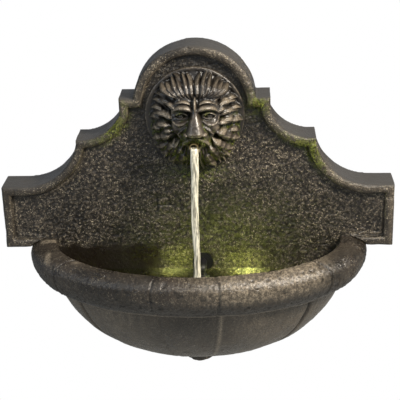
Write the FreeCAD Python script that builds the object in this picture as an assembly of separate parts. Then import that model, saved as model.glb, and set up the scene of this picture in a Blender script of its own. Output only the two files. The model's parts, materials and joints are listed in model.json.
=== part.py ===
import FreeCAD, Part
import math
import os

# Garden wall fountain: a cast panel hung on a wall cleat, a half bowl bolted to its
# face, a lion mask with a spout, and a pump circuit.
# X runs right, Y runs into the wall, Z up. The wall is the plane Y = 0 and the
# origin is midway between the two wall screws. Heights named _UP are measured from
# the bottom edge of the panel's side wings.

V = FreeCAD.Vector
X_AXIS, Y_AXIS, Z_AXIS = V(1, 0, 0), V(0, 1, 0), V(0, 0, 1)

# Panel outline, front view
PANEL_WIDTH = 750.0
PANEL_DEPTH = 71.0
WING_UP = 125.0
LOW_SHOULDER_X = 226.0
LOW_SHOULDER_UP = 219.5
LOW_COVE_R, LOW_COVE_OUT = 108.0, 105.5
HIGH_SHOULDER_X = 140.5
HIGH_SHOULDER_UP = 298.5
HIGH_COVE_R, HIGH_COVE_FLAT = 86.0, 8.0
ARCH_R = 115.0
APEX_UP = 397.0

# Panel casting
SKIN = 8.0
BORDER = 18.0
RECESS = 12.0
BORDER_ROUND = 7.0
RIB_THICK = 6.0
RIB_X = 215.0
RIB_WALL_GAP = 2.0

# Bowl: half widths and heights of its profile; it is half a turned bowl, made
# shallower from front to back
CREST_X, CREST_UP = 282.0, 18.5
BELLY_X, BELLY_UP = 326.0, -5.0
RING_X, RING_UP = 277.0, -59.0
BOWL_DEPTH_SHARE = 0.655
BOWL_FALL = 152.0
BOWL_TOE_X = 44.0
SIDE_POWER = 2.9
FALL_POWER = 1.4
BOWL_WALL = 8.0
LIP_FLAT = 3.0
LIP_ROUND = 5.0
ROLL_STEPS = 6
FLOOR_UP = -192.0
BOSS_X, BOSS_FORWARD, BOSS_UP = 34.0, 56.0, -226.0
BOSS_BURY = 6.0
SEAL_THICK = 2.0
SEAL_INSET = 1.0
SEAT_CLEAR = 0.5

# Basin bolts, through the panel's skin into the bowl's rear edge
BOLT_R = 3.0
BOLT_CLEAR = 0.05
BOLT_HEAD_R = 5.0
BOLT_HEAD_LONG = 4.0
BOLT_BITE = 18.0
WASHER_R = 6.5
WASHER_THICK = 1.5
ROLL_BOLT_X, ROLL_BOLT_UP = 296.0, -14.0
SIDE_BOLT_IN, SIDE_BOLT_UP = 23.0, -155.0
SIDE_BOSS_R = 10.0
SIDE_BOSS_LONG = 26.0
TOE_BOLT_X, TOE_BOLT_UP = 58.0, -200.0

# Wall cleat and panel cleat
CLEAT_UP = 140.0
CLEAT_HALF = 200.0
CLEAT_SHEET = 2.5
CLEAT_GAP = 3.5
CLEAT_LOW, CLEAT_TOP, HOOK_LONG = -20.0, 14.0, 12.0
HOOK_CLEAR = 0.5
PANEL_CLEAT_TALL = 34.0
CLEAT_SCREW_SHARE = 0.6
WALL_SCREW_X = 150.0
WALL_HOLE_R = 3.25
CLEAT_SCREW_X = (-160.0, -70.0, 70.0, 160.0)
CLEAT_SCREW_R = 2.5
CLEAT_SCREW_LONG = 16.0
CLEAT_HEAD_R, CLEAT_HEAD_LONG = 4.5, 2.5
CLEAT_BOSS_R = 9.0

# Lion mask
MASK_UP = 264.0
MANE_UP = 257.0
MASK_PLATE_R = 93.0
MASK_PLATE_THICK = 6.0
MANE_X, MANE_Z, MANE_FORWARD = 72.0, 82.0, 36.0
MANE_LOCKS = 18
DOME_STOCK_DEG = 20.0
LOCK_RING_X, LOCK_RING_Z = 64.0, 78.0
LOCK_LONG, LOCK_WIDE, LOCK_FORWARD = 21.0, 12.0, 22.0
# Skull, muzzle, nose, chin, brows and cheeks: half width, half height, reach forward,
# distance to each side of the middle, height
HEAD_FORMS = (
    (41.0, 50.0, 58.0, 0.0, 264.0),
    (23.0, 20.0, 74.0, 0.0, 232.0),
    (12.0, 34.0, 82.0, 0.0, 260.0),
    (17.0, 13.0, 60.0, 0.0, 213.0),
    (17.0, 9.0, 64.0, 20.0, 288.0),
    (18.0, 20.0, 61.0, 22.0, 246.0),
)
MASK_SCREW_R, MASK_SCREW_PCR, MASK_SCREW_BITE = 2.5, 62.0, 14.0

# Spout and its fittings
MOUTH_UP = 222.0
MOUTH_FORWARD = 68.0
PIPE_R, PIPE_BORE_R = 8.0, 6.5
PIPE_CLEAR = 0.2
PIPE_TAIL_Y = -36.0
NUT_R, NUT_LONG = 13.0, 6.0
SPOUT_WASHER_R = 14.0
ELBOW_Y = -29.0
ELBOW_R = 10.0
ELBOW_DROP = 34.0
BARB_R, BARB_BORE_R = 6.3, 4.5

# Bulkhead through the panel, and the hoses
BULKHEAD_X, BULKHEAD_UP = 8.0, -37.0
BULKHEAD_FLANGE_R, BULKHEAD_FLANGE_THICK = 19.5, 4.0
BULKHEAD_SEAL_THICK = 1.0
BULKHEAD_STEM_R = 13.0
BULKHEAD_NUT_R, BULKHEAD_NUT_LONG, BULKHEAD_STEM_PROUD = 19.0, 6.0, 1.0
BULKHEAD_LEG = 30.0
HOSE_R, HOSE_BORE_R = 8.5, 6.5
HOSE_BITE = 18.0
HOSE_BEND_R = 250.0
HOSE_LEAD = 60.0
CLAMP_THICK, CLAMP_LONG, CLAMP_INSET = 1.2, 8.0, 5.0
CLAMP_SCREW_R, CLAMP_SCREW_LONG, CLAMP_SCREW_OUT = 2.5, 10.0, 1.5

# Pump, lying along X on the bowl's floor
PUMP_WIDE, PUMP_LONG, PUMP_TALL = 50.0, 46.0, 54.0
PUMP_Y = -89.0
PUMP_ROUND = 6.0
FOOT_TALL, FOOT_R, FOOT_STEM_R, FOOT_STEM_LONG, FOOT_WALL = 8.0, 9.0, 4.0, 4.0, 2.0
FOOT_APART_X, FOOT_APART_Y = 26.0, 28.0
CAN_R, CAN_DEEP = 12.0, 38.0
MAGNET_R, MAGNET_LONG = 9.5, 30.0
SHAFT_R, SHAFT_CLEAR = 1.5, 0.05
BUSH_R, BUSH_LONG = 3.5, 3.0
VOLUTE_R, VOLUTE_BORE_R = 21.0, 17.0
VOLUTE_LONG, VOLUTE_FACE = 16.0, 3.0
EYE_R, EYE_HUB_R, EYE_SPOKE, EYE_SPOKES = 8.5, 5.0, 2.0, 3
VANE_COUNT = 6
VANE_R, VANE_LONG, VANE_THICK, HUB_R = 14.5, 9.0, 1.6, 4.0
IMPELLER_GAP, DISC_THICK = 1.0, 1.5
OUTLET_R, OUTLET_BORE_R, OUTLET_RISE = 7.5, 5.0, 20.0
NOZZLE_R, NOZZLE_TALL, BARB_LONG = 9.5, 6.0, 22.0
DIAL_R, DIAL_THICK, DIAL_STEM_R = 7.0, 5.0, 2.5
DIAL_BOSS_R, DIAL_BOSS_LONG, DIAL_DROP = 4.5, 12.0, 9.0
GRIP_THICK, GRIP_PROUD, GRIP_SHORT = 2.4, 2.0, 1.0
CAGE_LONG, CAGE_WALL = 30.0, 2.0
CAGE_SLOTS, CAGE_SLOT_WIDE, CAGE_SLOT_TALL = 7, 3.0, 36.0
NOTCH_HALF = 8.5
SPONGE_THICK, SPONGE_CLEAR = 6.0, 0.3
GLAND_R, GLAND_NECK_R, GLAND_BORE_R = 6.0, 4.5, 3.0
GLAND_TALL, GLAND_BURY, GLAND_X = 12.0, 4.0, 10.0

# Submerged spotlights
SPOT_X = {"left": -83.0, "right": 83.0}
SPOT_Y = -84.0
SPOT_LEAN_DEG = 20.0
SPOT_BASE_X, SPOT_BASE_Y, SPOT_SHEET = 36.0, 18.0, 2.5
SPOT_PIVOT_TALL, SPOT_EAR_TALL, SPOT_EAR_WIDE = 28.0, 35.0, 12.0
SPOT_R, SPOT_LONG, SPOT_BORE_R = 15.0, 34.0, 13.0
SPOT_PIN_R, SPOT_PIN_CLEAR, SPOT_PIN_BITE = 2.0, 0.05, 3.0
SPOT_PIN_HEAD_R, SPOT_PIN_HEAD_LONG = 4.0, 2.0
SPOT_SIDE_CLEAR = 0.4
BEZEL_THICK, BEZEL_BORE_R = 3.0, 11.5
LENS_THICK = 2.5
BOARD_THICK, BOARD_DEEP = 1.6, 7.0
CHIP_COUNT, CHIP_RING_R, CHIP_R, CHIP_TALL = 6, 7.0, 2.2, 2.0

# Drain in the boss under the bowl
DRAIN_FORWARD = 28.0
DRAIN_INSERT_R, DRAIN_BORE_R, DRAIN_SHANK_R = 9.0, 6.0, 5.95
DRAIN_POCKET_R, DRAIN_POCKET = 14.0, 18.0
DRAIN_WASHER_R, DRAIN_WASHER_BORE_R, DRAIN_WASHER_THICK = 12.0, 6.2, 2.0
DRAIN_HEAD_R, DRAIN_HEAD_LONG, DRAIN_SHANK_SHORT = 11.0, 14.0, 2.0

# Gap between pieces that move past each other, and how far a cut runs past its faces
MOVE_GAP = 0.3
PAST = 1.0
MERGE = 1e-6

HALF = PANEL_WIDTH / 2
FRONT_Y = -PANEL_DEPTH
FACE_Y = FRONT_Y + RECESS
SKIN_Y = FACE_Y + SKIN
BOWL_BACK_Y = FACE_Y - SEAL_THICK
FLOOR_Z = FLOOR_UP - CLEAT_UP
WALL_HOOK_Y = -(CLEAT_SHEET + CLEAT_GAP)
PANEL_CLEAT_Y = WALL_HOOK_Y - 2 * CLEAT_SHEET - HOOK_CLEAR
PANEL_CLEAT_LOW = CLEAT_TOP + HOOK_LONG + HOOK_CLEAR
CLEAT_SCREW_Z = PANEL_CLEAT_LOW + CLEAT_SCREW_SHARE * PANEL_CLEAT_TALL
HOSE_BACK_Y = ELBOW_Y
FLANGE_Y = FACE_Y + BULKHEAD_FLANGE_THICK
BULKHEAD_SEAT_Y = FLANGE_Y + BULKHEAD_SEAL_THICK
PUMP_BASE_Z = FLOOR_Z + FOOT_TALL
PUMP_TOP_Z = PUMP_BASE_Z + PUMP_TALL
PUMP_AXIS_Z = PUMP_BASE_Z + PUMP_TALL / 2
VOLUTE_X = BULKHEAD_X - VOLUTE_LONG / 2
MOTOR_X = VOLUTE_X + VOLUTE_LONG
OUTLET_TOP_Z = PUMP_TOP_Z + OUTLET_RISE
NOZZLE_TOP_Z = OUTLET_TOP_Z + NOZZLE_TALL
DIAL_Z = OUTLET_TOP_Z - DIAL_DROP
PIVOT_Z = FLOOR_Z + SPOT_PIVOT_TALL
DRAIN_Y = FRONT_Y - DRAIN_FORWARD
BOSS_Z = BOSS_UP - CLEAT_UP


def height(up):
    return up - CLEAT_UP


def box(x0, x1, y0, y1, z0, z1):
    return Part.makeBox(x1 - x0, y1 - y0, z1 - z0, V(x0, y0, z0))


def rod(r, start, end):
    along = end.sub(start)
    return Part.makeCylinder(r, along.Length, start, along)


def rod_x(r, y, z, x0, x1):
    return rod(r, V(x0, y, z), V(x1, y, z))


def rod_y(r, x, z, y0, y1):
    return rod(r, V(x, y0, z), V(x, y1, z))


def rod_z(r, x, y, z0, z1):
    return rod(r, V(x, y, z0), V(x, y, z1))


def ring_y(r, bore, x, z, y0, y1):
    return rod_y(r, x, z, y0, y1).cut(rod_y(bore, x, z, y0, y1))


def ring_z(r, bore, x, y, z0, z1):
    return rod_z(r, x, y, z0, z1).cut(rod_z(bore, x, y, z0, z1))


def prism(points, direction):
    return Part.Face(Part.makePolygon(points + [points[0]])).extrude(direction)


def hex_prism(r, centre, direction):
    side, up = (X_AXIS, Z_AXIS) if abs(direction.y) > 0 else (X_AXIS, Y_AXIS)
    corners = [centre + side * (r * math.cos(math.radians(60 * k)))
               + up * (r * math.sin(math.radians(60 * k))) for k in range(6)]
    return prism(corners, direction)


def dome(half_x, forward, half_z):
    """Front half of an ellipsoid about the origin, with a little stock behind."""
    scale = FreeCAD.Matrix()
    scale.scale(half_x, forward, half_z)
    return Part.makeSphere(1.0, V(0, 0, 0), V(0, -1, 0), -DOME_STOCK_DEG, 90, 360).transformGeometry(scale)


def join(shapes):
    return shapes[0].multiFuse(shapes[1:]).removeSplitter() if len(shapes) > 1 else shapes[0]


def group(shapes):
    return Part.makeCompound(shapes)


# The panel

def panel_outline():
    """Closed front outline of the panel above the wings' bottom edge, in the plane Y = 0."""
    low_cove = V(LOW_SHOULDER_X + LOW_COVE_OUT, 0, height(WING_UP + LOW_COVE_R))
    high_cove = V(LOW_SHOULDER_X - HIGH_COVE_FLAT, 0, height(LOW_SHOULDER_UP + HIGH_COVE_R))
    arch = V(0, 0, height(APEX_UP - ARCH_R))
    high_z = height(HIGH_SHOULDER_UP)
    arch_x = math.sqrt(ARCH_R ** 2 - (high_z - arch.z) ** 2)
    low_start = V(low_cove.x, 0, height(WING_UP))
    low_end = V(LOW_SHOULDER_X, 0,
                low_cove.z - math.sqrt(LOW_COVE_R ** 2 - (low_cove.x - LOW_SHOULDER_X) ** 2))
    low_mid = low_cove + V(-math.cos(math.radians(50)), 0, -math.sin(math.radians(50))) * LOW_COVE_R
    high_start = V(high_cove.x, 0, height(LOW_SHOULDER_UP))
    high_end = V(HIGH_SHOULDER_X, 0,
                 high_cove.z - math.sqrt(HIGH_COVE_R ** 2 - (high_cove.x - HIGH_SHOULDER_X) ** 2))
    high_mid = high_cove + V(-math.cos(math.radians(60)), 0, -math.sin(math.radians(60))) * HIGH_COVE_R

    def side(sign):
        def at(p):
            return V(sign * p.x, 0, p.z)
        line = [V(HALF, 0, height(0)), V(HALF, 0, height(WING_UP)), low_start]
        edges = [Part.makeLine(at(a), at(b)) for a, b in zip(line, line[1:])]
        edges.append(Part.Arc(at(low_start), at(low_mid), at(low_end)).toShape())
        step = [low_end, V(LOW_SHOULDER_X, 0, height(LOW_SHOULDER_UP)), high_start]
        edges += [Part.makeLine(at(a), at(b)) for a, b in zip(step, step[1:])]
        edges.append(Part.Arc(at(high_start), at(high_mid), at(high_end)).toShape())
        step = [high_end, V(HIGH_SHOULDER_X, 0, high_z), V(arch_x, 0, high_z)]
        edges += [Part.makeLine(at(a), at(b)) for a, b in zip(step, step[1:])]
        return edges

    top = Part.Arc(V(arch_x, 0, high_z), V(0, 0, height(APEX_UP)), V(-arch_x, 0, high_z)).toShape()
    base = Part.makeLine(V(-HALF, 0, height(0)), V(HALF, 0, height(0)))
    return Part.Wire(Part.__sortEdges__(side(1) + [top] + side(-1) + [base]))


def offset_face(wire, inward):
    return Part.Face(Part.Face(wire).makeOffset2D(-inward, 2).Wires[0])


# The bowl's form: one profile gives the turned bowl, its seat in the panel, the apron
# behind it and the seal

def fall_share(t):
    """Width of the lower bowl at a share t of its fall, as a share of the ring's."""
    return max(1 - t ** FALL_POWER, 0.0) ** (1 / SIDE_POWER)


TOE_SHARE = (1 - (BOWL_TOE_X / RING_X) ** SIDE_POWER) ** (1 / FALL_POWER)
SIDE_BOLT_X = RING_X * fall_share((RING_UP - SIDE_BOLT_UP) / BOWL_FALL) - SIDE_BOLT_IN


def quarter(start, end, bulge, steps=ROLL_STEPS):
    """Quarter oval of (half width, height) pairs; bulge is 1 if it leaves start sideways, else 0."""
    pairs = []
    for k in range(steps + 1):
        turn = math.radians(90 * k / steps)
        sine, rest = math.sin(turn), 1 - math.cos(turn)
        across, along = (sine, rest) if bulge else (rest, sine)
        pairs.append((start[0] + (end[0] - start[0]) * across, start[1] + (end[1] - start[1]) * along))
    return pairs


def roll_runs(grow=0.0):
    """The rim roll from its crest to its belly, and from there to the ring."""
    belly = (BELLY_X + grow, BELLY_UP)
    return [quarter((CREST_X + grow, CREST_UP + grow), belly, 1), quarter(belly, (RING_X + grow, RING_UP), 0)]


def lower_run(inset=0.0, last=TOE_SHARE, steps=9):
    """The lower bowl from the ring down to a share of its fall."""
    top = math.asin(last)
    shares = [math.sin(top * k / steps) for k in range(steps + 1)]
    return [((RING_X - inset) * fall_share(t), RING_UP - (BOWL_FALL - inset) * t) for t in shares]


def inner_runs(grow=0.0):
    """The bowl's inside: the rounded lip, the wall and the lower bowl."""
    flat_x = CREST_X - LIP_FLAT + grow
    lip = quarter((flat_x, CREST_UP), (flat_x - LIP_ROUND, CREST_UP - LIP_ROUND), 1)
    last = (RING_UP - FLOOR_UP) / (BOWL_FALL - BOWL_WALL)
    lower = [(x + grow, up) for x, up in lower_run(BOWL_WALL, last)]
    return [lip, [lip[-1], lower[0]], lower]


def run_edge(pairs, y, sign=1):
    points = [V(sign * x, y, height(up)) for x, up in pairs]
    if len(points) == 2:
        return Part.makeLine(*points)
    spline = Part.BSplineCurve()
    spline.interpolate(Points=points)
    return spline.toShape()


def closed_face(runs, y):
    """Face in the plane Y = y bounded by the runs and the straight lines that close them."""
    edges = [run_edge(run, y) for run in runs]
    for this, after in zip(runs, runs[1:] + runs[:1]):
        if math.dist(this[-1], after[0]) > MERGE:
            edges.append(run_edge([this[-1], after[0]], y))
    return Part.Face(Part.Wire(Part.__sortEdges__(edges)))


def bowl_outline_face(runs, y, close_up):
    """Face whose two sides follow the runs, mirrored, closed across at the height close_up."""
    top_x = runs[0][0][0]
    lid = [(-top_x, close_up), (top_x, close_up)]
    mirrored = [[(-x, up) for x, up in reversed(run)] for run in reversed(runs)]
    return closed_face([lid] + runs + mirrored, y)


def bolt_places():
    for sign in (-1, 1):
        for x, up in ((ROLL_BOLT_X, ROLL_BOLT_UP), (SIDE_BOLT_X, SIDE_BOLT_UP), (TOE_BOLT_X, TOE_BOLT_UP)):
            yield sign * x, height(up)


def mask_screw_places():
    for turn in (90, 210, 330):
        yield (MASK_SCREW_PCR * math.cos(math.radians(turn)),
               height(MASK_UP) + MASK_SCREW_PCR * math.sin(math.radians(turn)))


def make_back_panel():
    outline = panel_outline()
    body = Part.Face(outline).extrude(V(0, FRONT_Y, 0))
    recess = offset_face(outline, BORDER).extrude(V(0, RECESS, 0))
    recess.translate(V(0, FRONT_Y, 0))
    body = body.cut(recess)
    front_edges = [e for e in body.Edges if e.BoundBox.YMax < FACE_Y - PAST]
    body = body.makeFillet(BORDER_ROUND, front_edges)
    seat = bowl_outline_face(roll_runs(SEAT_CLEAR), FRONT_Y - PAST, CREST_UP + SEAT_CLEAR)
    body = body.cut(seat.extrude(V(0, RECESS + PAST, 0)))
    apron = bowl_outline_face([roll_runs()[1], lower_run()], FACE_Y, 0.0)
    body = body.fuse(apron.extrude(V(0, -FACE_Y, 0)))
    hollow = offset_face(outline, SKIN).extrude(V(0, SKIN_Y, 0))
    inner = bowl_outline_face([roll_runs(-SKIN)[1], lower_run(SKIN)], SKIN_Y, SKIN + PAST)
    hollow = hollow.fuse(inner.extrude(V(0, -SKIN_Y, 0)))
    body = body.cut(hollow)
    ribs = [box(x - RIB_THICK / 2, x + RIB_THICK / 2, SKIN_Y - PAST, -RIB_WALL_GAP,
                height(SKIN), height(WING_UP)) for x in (-RIB_X, RIB_X)]
    bosses = [rod_y(CLEAT_BOSS_R, x, CLEAT_SCREW_Z, SKIN_Y - PAST, PANEL_CLEAT_Y) for x in CLEAT_SCREW_X]
    body = body.multiFuse(ribs + bosses)
    holes = [rod_y(CLEAT_SCREW_R, x, CLEAT_SCREW_Z, PANEL_CLEAT_Y - CLEAT_SCREW_LONG, PANEL_CLEAT_Y)
             for x in CLEAT_SCREW_X]
    holes += [rod_y(BOLT_R + BOLT_CLEAR, x, z, FACE_Y - PAST, SKIN_Y + PAST) for x, z in bolt_places()]
    holes += [rod_y(WASHER_R + SEAT_CLEAR, x, z, SKIN_Y, PAST) for x, z in bolt_places()]
    holes += [rod_y(MASK_SCREW_R + BOLT_CLEAR, x, z, FACE_Y - PAST, SKIN_Y + PAST)
              for x, z in mask_screw_places()]
    holes.append(rod_y(PIPE_R + PIPE_CLEAR, 0, height(MOUTH_UP), FACE_Y - PAST, SKIN_Y + PAST))
    bulk_z = height(BULKHEAD_UP)
    holes.append(rod_y(BULKHEAD_STEM_R + SEAT_CLEAR, BULKHEAD_X, bulk_z, FACE_Y - PAST, SKIN_Y + PAST))
    holes.append(rod_y(BULKHEAD_FLANGE_R + SEAT_CLEAR, BULKHEAD_X, bulk_z, FACE_Y - PAST, BULKHEAD_SEAT_Y))
    return body.cut(join(holes))


def make_wall_cleat():
    sheet = CLEAT_SHEET
    shape = join([box(-CLEAT_HALF, CLEAT_HALF, -sheet, 0, CLEAT_LOW, CLEAT_TOP),
                  box(-CLEAT_HALF, CLEAT_HALF, WALL_HOOK_Y - sheet, 0, CLEAT_TOP - sheet, CLEAT_TOP),
                  box(-CLEAT_HALF, CLEAT_HALF, WALL_HOOK_Y - sheet, WALL_HOOK_Y,
                      CLEAT_TOP - sheet, CLEAT_TOP + HOOK_LONG)])
    return shape.cut(join([rod_y(WALL_HOLE_R, x, 0, -sheet - PAST, PAST)
                           for x in (-WALL_SCREW_X, WALL_SCREW_X)]))


def make_panel_cleat():
    sheet = CLEAT_SHEET
    hook_y = WALL_HOOK_Y + HOOK_CLEAR
    shape = join([box(-CLEAT_HALF, CLEAT_HALF, PANEL_CLEAT_Y, PANEL_CLEAT_Y + sheet,
                      PANEL_CLEAT_LOW, PANEL_CLEAT_LOW + PANEL_CLEAT_TALL),
                  box(-CLEAT_HALF, CLEAT_HALF, PANEL_CLEAT_Y, hook_y + sheet,
                      PANEL_CLEAT_LOW, PANEL_CLEAT_LOW + sheet),
                  box(-CLEAT_HALF, CLEAT_HALF, hook_y, hook_y + sheet, CLEAT_TOP, PANEL_CLEAT_LOW + sheet)])
    return shape.cut(join([rod_y(CLEAT_SCREW_R, x, CLEAT_SCREW_Z, PANEL_CLEAT_Y - PAST,
                                 PANEL_CLEAT_Y + sheet + PAST) for x in CLEAT_SCREW_X]))


def make_cleat_screws():
    back_y = PANEL_CLEAT_Y + CLEAT_SHEET
    screws = []
    for x in CLEAT_SCREW_X:
        shank = rod_y(CLEAT_SCREW_R, x, CLEAT_SCREW_Z, PANEL_CLEAT_Y - CLEAT_SCREW_LONG, back_y)
        head = rod_y(CLEAT_HEAD_R, x, CLEAT_SCREW_Z, back_y, back_y + CLEAT_HEAD_LONG)
        screws.append(shank.fuse(head))
    return group(screws)


# The basin

def flattened(shape, share):
    """The shape made shallower towards the plane Y = 0."""
    squash = FreeCAD.Matrix()
    squash.scale(1, share, 1)
    return shape.transformGeometry(squash)


def make_basin():
    inner = [[(x, up) for x, up in reversed(run)] for run in reversed(inner_runs())]
    axis = [(0, lower_run()[-1][1]), (0, FLOOR_UP)]
    wall = closed_face(roll_runs() + [lower_run(), axis] + inner, 0)
    bowl = flattened(wall.revolve(V(0, 0, 0), Z_AXIS, -180), BOWL_DEPTH_SHARE)
    boss = Part.makeCylinder(BOSS_X, FLOOR_UP - BOSS_BURY - BOSS_UP, V(0, 0, height(BOSS_UP)), Z_AXIS, 180)
    boss.rotate(V(0, 0, 0), Z_AXIS, 180)
    bowl = bowl.fuse(flattened(boss, BOSS_FORWARD / BOSS_X))
    bowl.translate(V(0, BOWL_BACK_Y, 0))
    side_bosses = [rod_y(SIDE_BOSS_R, s * SIDE_BOLT_X, height(SIDE_BOLT_UP),
                         BOWL_BACK_Y - SIDE_BOSS_LONG, BOWL_BACK_Y) for s in (-1, 1)]
    bowl = bowl.multiFuse(side_bosses)
    holes = [rod_y(BOLT_R + BOLT_CLEAR, x, z, BOWL_BACK_Y - BOLT_BITE - PAST, BOWL_BACK_Y + PAST)
             for x, z in bolt_places()]
    holes.append(rod_z(DRAIN_INSERT_R, 0, DRAIN_Y, BOSS_Z, FLOOR_Z + PAST))
    holes.append(rod_z(DRAIN_POCKET_R, 0, DRAIN_Y, BOSS_Z - PAST, BOSS_Z + DRAIN_POCKET))
    return bowl.cut(join(holes))


def make_basin_seal():
    y = BOWL_BACK_Y
    outer = bowl_outline_face(roll_runs(-SEAL_INSET) + [lower_run(SEAL_INSET)], y, CREST_UP - SEAL_INSET)
    inner = bowl_outline_face(inner_runs(SEAL_INSET), y, CREST_UP + PAST)
    ring = outer.extrude(V(0, SEAL_THICK, 0)).cut(inner.extrude(V(0, SEAL_THICK, 0)))
    return ring.cut(join([rod_y(BOLT_R + BOLT_CLEAR, x, z, y - PAST, FACE_Y + PAST)
                          for x, z in bolt_places()]))


def make_basin_bolts():
    head_y = SKIN_Y + WASHER_THICK
    return group([rod_y(BOLT_R, x, z, BOWL_BACK_Y - BOLT_BITE, head_y).fuse(
        hex_prism(BOLT_HEAD_R, V(x, head_y, z), V(0, BOLT_HEAD_LONG, 0))) for x, z in bolt_places()])


def make_basin_washers():
    return group([ring_y(WASHER_R, BOLT_R + BOLT_CLEAR, x, z, SKIN_Y, SKIN_Y + WASHER_THICK)
                  for x, z in bolt_places()])


# The lion mask and spout

def make_lion_mask():
    def form(half_x, half_z, forward, x, up):
        shape = dome(half_x, forward, half_z)
        shape.translate(V(x, FACE_Y, height(up)))
        return shape

    shapes = [rod_y(MASK_PLATE_R, 0, height(MASK_UP), FACE_Y - MASK_PLATE_THICK, FACE_Y + PAST),
              form(MANE_X, MANE_Z, MANE_FORWARD, 0, MANE_UP)]
    for half_x, half_z, forward, x, up in HEAD_FORMS:
        shapes += [form(half_x, half_z, forward, side, up) for side in ((-x, x) if x else (0,))]
    for k in range(MANE_LOCKS):
        turn = 360 * (k + 0.5) / MANE_LOCKS
        lock = dome(LOCK_LONG, LOCK_FORWARD, LOCK_WIDE)
        lock.rotate(V(0, 0, 0), Y_AXIS, -turn)
        lock.translate(V(LOCK_RING_X * math.cos(math.radians(turn)), FACE_Y,
                         height(MANE_UP) + LOCK_RING_Z * math.sin(math.radians(turn))))
        shapes.append(lock)
    mask = shapes[0]
    for shape in shapes[1:]:
        mask = mask.fuse(shape)
    behind = box(-HALF, HALF, FACE_Y, 0, height(0), height(APEX_UP))
    mask = mask.cut(behind)
    holes = [rod_y(MASK_SCREW_R, x, z, FACE_Y - MASK_SCREW_BITE, FACE_Y + PAST)
             for x, z in mask_screw_places()]
    holes.append(rod_y(PIPE_R + PIPE_CLEAR, 0, height(MOUTH_UP), FACE_Y - 2 * MOUTH_FORWARD, FACE_Y + PAST))
    return mask.cut(join(holes))


def make_mask_screws():
    return group([rod_y(MASK_SCREW_R, x, z, FACE_Y - MASK_SCREW_BITE, SKIN_Y).fuse(
        rod_y(CLEAT_HEAD_R, x, z, SKIN_Y, SKIN_Y + CLEAT_HEAD_LONG)) for x, z in mask_screw_places()])


def make_spout_pipe():
    return ring_y(PIPE_R, PIPE_BORE_R, 0, height(MOUTH_UP), FACE_Y - MOUTH_FORWARD, PIPE_TAIL_Y)


def make_spout_washer():
    return ring_y(SPOUT_WASHER_R, PIPE_R, 0, height(MOUTH_UP), SKIN_Y, SKIN_Y + WASHER_THICK)


def make_spout_nut():
    y = SKIN_Y + WASHER_THICK
    return hex_prism(NUT_R, V(0, y, height(MOUTH_UP)), V(0, NUT_LONG, 0)).cut(
        rod_y(PIPE_R, 0, height(MOUTH_UP), y - PAST, y + NUT_LONG + PAST))


def make_spout_elbow():
    z = height(MOUTH_UP)
    start_y = SKIN_Y + WASHER_THICK + NUT_LONG
    body = join([rod_y(ELBOW_R, 0, z, start_y, ELBOW_Y), Part.makeSphere(ELBOW_R, V(0, ELBOW_Y, z)),
                 rod_z(BARB_R, 0, ELBOW_Y, z - ELBOW_DROP, z)])
    return body.cut(join([rod_y(PIPE_R, 0, z, start_y - PAST, PIPE_TAIL_Y),
                          rod_y(BARB_BORE_R, 0, z, PIPE_TAIL_Y - PAST, ELBOW_Y),
                          Part.makeSphere(BARB_BORE_R, V(0, ELBOW_Y, z)),
                          rod_z(BARB_BORE_R, 0, ELBOW_Y, z - ELBOW_DROP - PAST, z)]))


# The bulkhead and hoses

def make_bulkhead_fitting():
    x, z = BULKHEAD_X, height(BULKHEAD_UP)
    stem_end = SKIN_Y + BULKHEAD_NUT_LONG + BULKHEAD_STEM_PROUD
    solid = join([rod_y(BULKHEAD_FLANGE_R, x, z, FACE_Y, FLANGE_Y),
                  rod_y(BULKHEAD_STEM_R, x, z, FLANGE_Y, stem_end),
                  rod_y(HOSE_R, x, z, PUMP_Y, FACE_Y), Part.makeSphere(HOSE_R, V(x, PUMP_Y, z)),
                  rod_z(BARB_R, x, PUMP_Y, z - BULKHEAD_LEG, z),
                  rod_y(HOSE_R, x, z, stem_end, HOSE_BACK_Y), Part.makeSphere(HOSE_R, V(x, HOSE_BACK_Y, z)),
                  rod_z(BARB_R, x, HOSE_BACK_Y, z, z + BULKHEAD_LEG)])
    way = join([rod_y(BARB_BORE_R, x, z, PUMP_Y, HOSE_BACK_Y), Part.makeSphere(BARB_BORE_R, V(x, PUMP_Y, z)),
                Part.makeSphere(BARB_BORE_R, V(x, HOSE_BACK_Y, z)),
                rod_z(BARB_BORE_R, x, PUMP_Y, z - BULKHEAD_LEG - PAST, z),
                rod_z(BARB_BORE_R, x, HOSE_BACK_Y, z, z + BULKHEAD_LEG + PAST)])
    return solid.cut(way)


def make_bulkhead_seal():
    x, z = BULKHEAD_X, height(BULKHEAD_UP)
    return ring_y(BULKHEAD_FLANGE_R, BULKHEAD_STEM_R, x, z, FLANGE_Y, BULKHEAD_SEAT_Y)


def make_bulkhead_nut():
    x, z = BULKHEAD_X, height(BULKHEAD_UP)
    return hex_prism(BULKHEAD_NUT_R, V(x, SKIN_Y, z), V(0, BULKHEAD_NUT_LONG, 0)).cut(
        rod_y(BULKHEAD_STEM_R, x, z, SKIN_Y - PAST, SKIN_Y + BULKHEAD_NUT_LONG + PAST))


def bent_path(points, radius):
    """Straight runs joined by tangent arcs of one radius; also returns its length."""
    edges, start, length = [], points[0], 0.0
    for before, corner, after in zip(points, points[1:], points[2:]):
        back, on = (before - corner).normalize(), (after - corner).normalize()
        turn = math.pi - back.getAngle(on)
        trim = radius * math.tan(turn / 2)
        first, last = corner + back * trim, corner + on * trim
        centre = corner + (back + on).normalize() * (radius / math.cos(turn / 2))
        middle = centre + (corner - centre).normalize() * radius
        edges += [Part.makeLine(start, first), Part.Arc(first, middle, last).toShape()]
        start = last
    edges.append(Part.makeLine(start, points[-1]))
    wire = Part.Wire(edges)
    return wire, wire.Length


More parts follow.
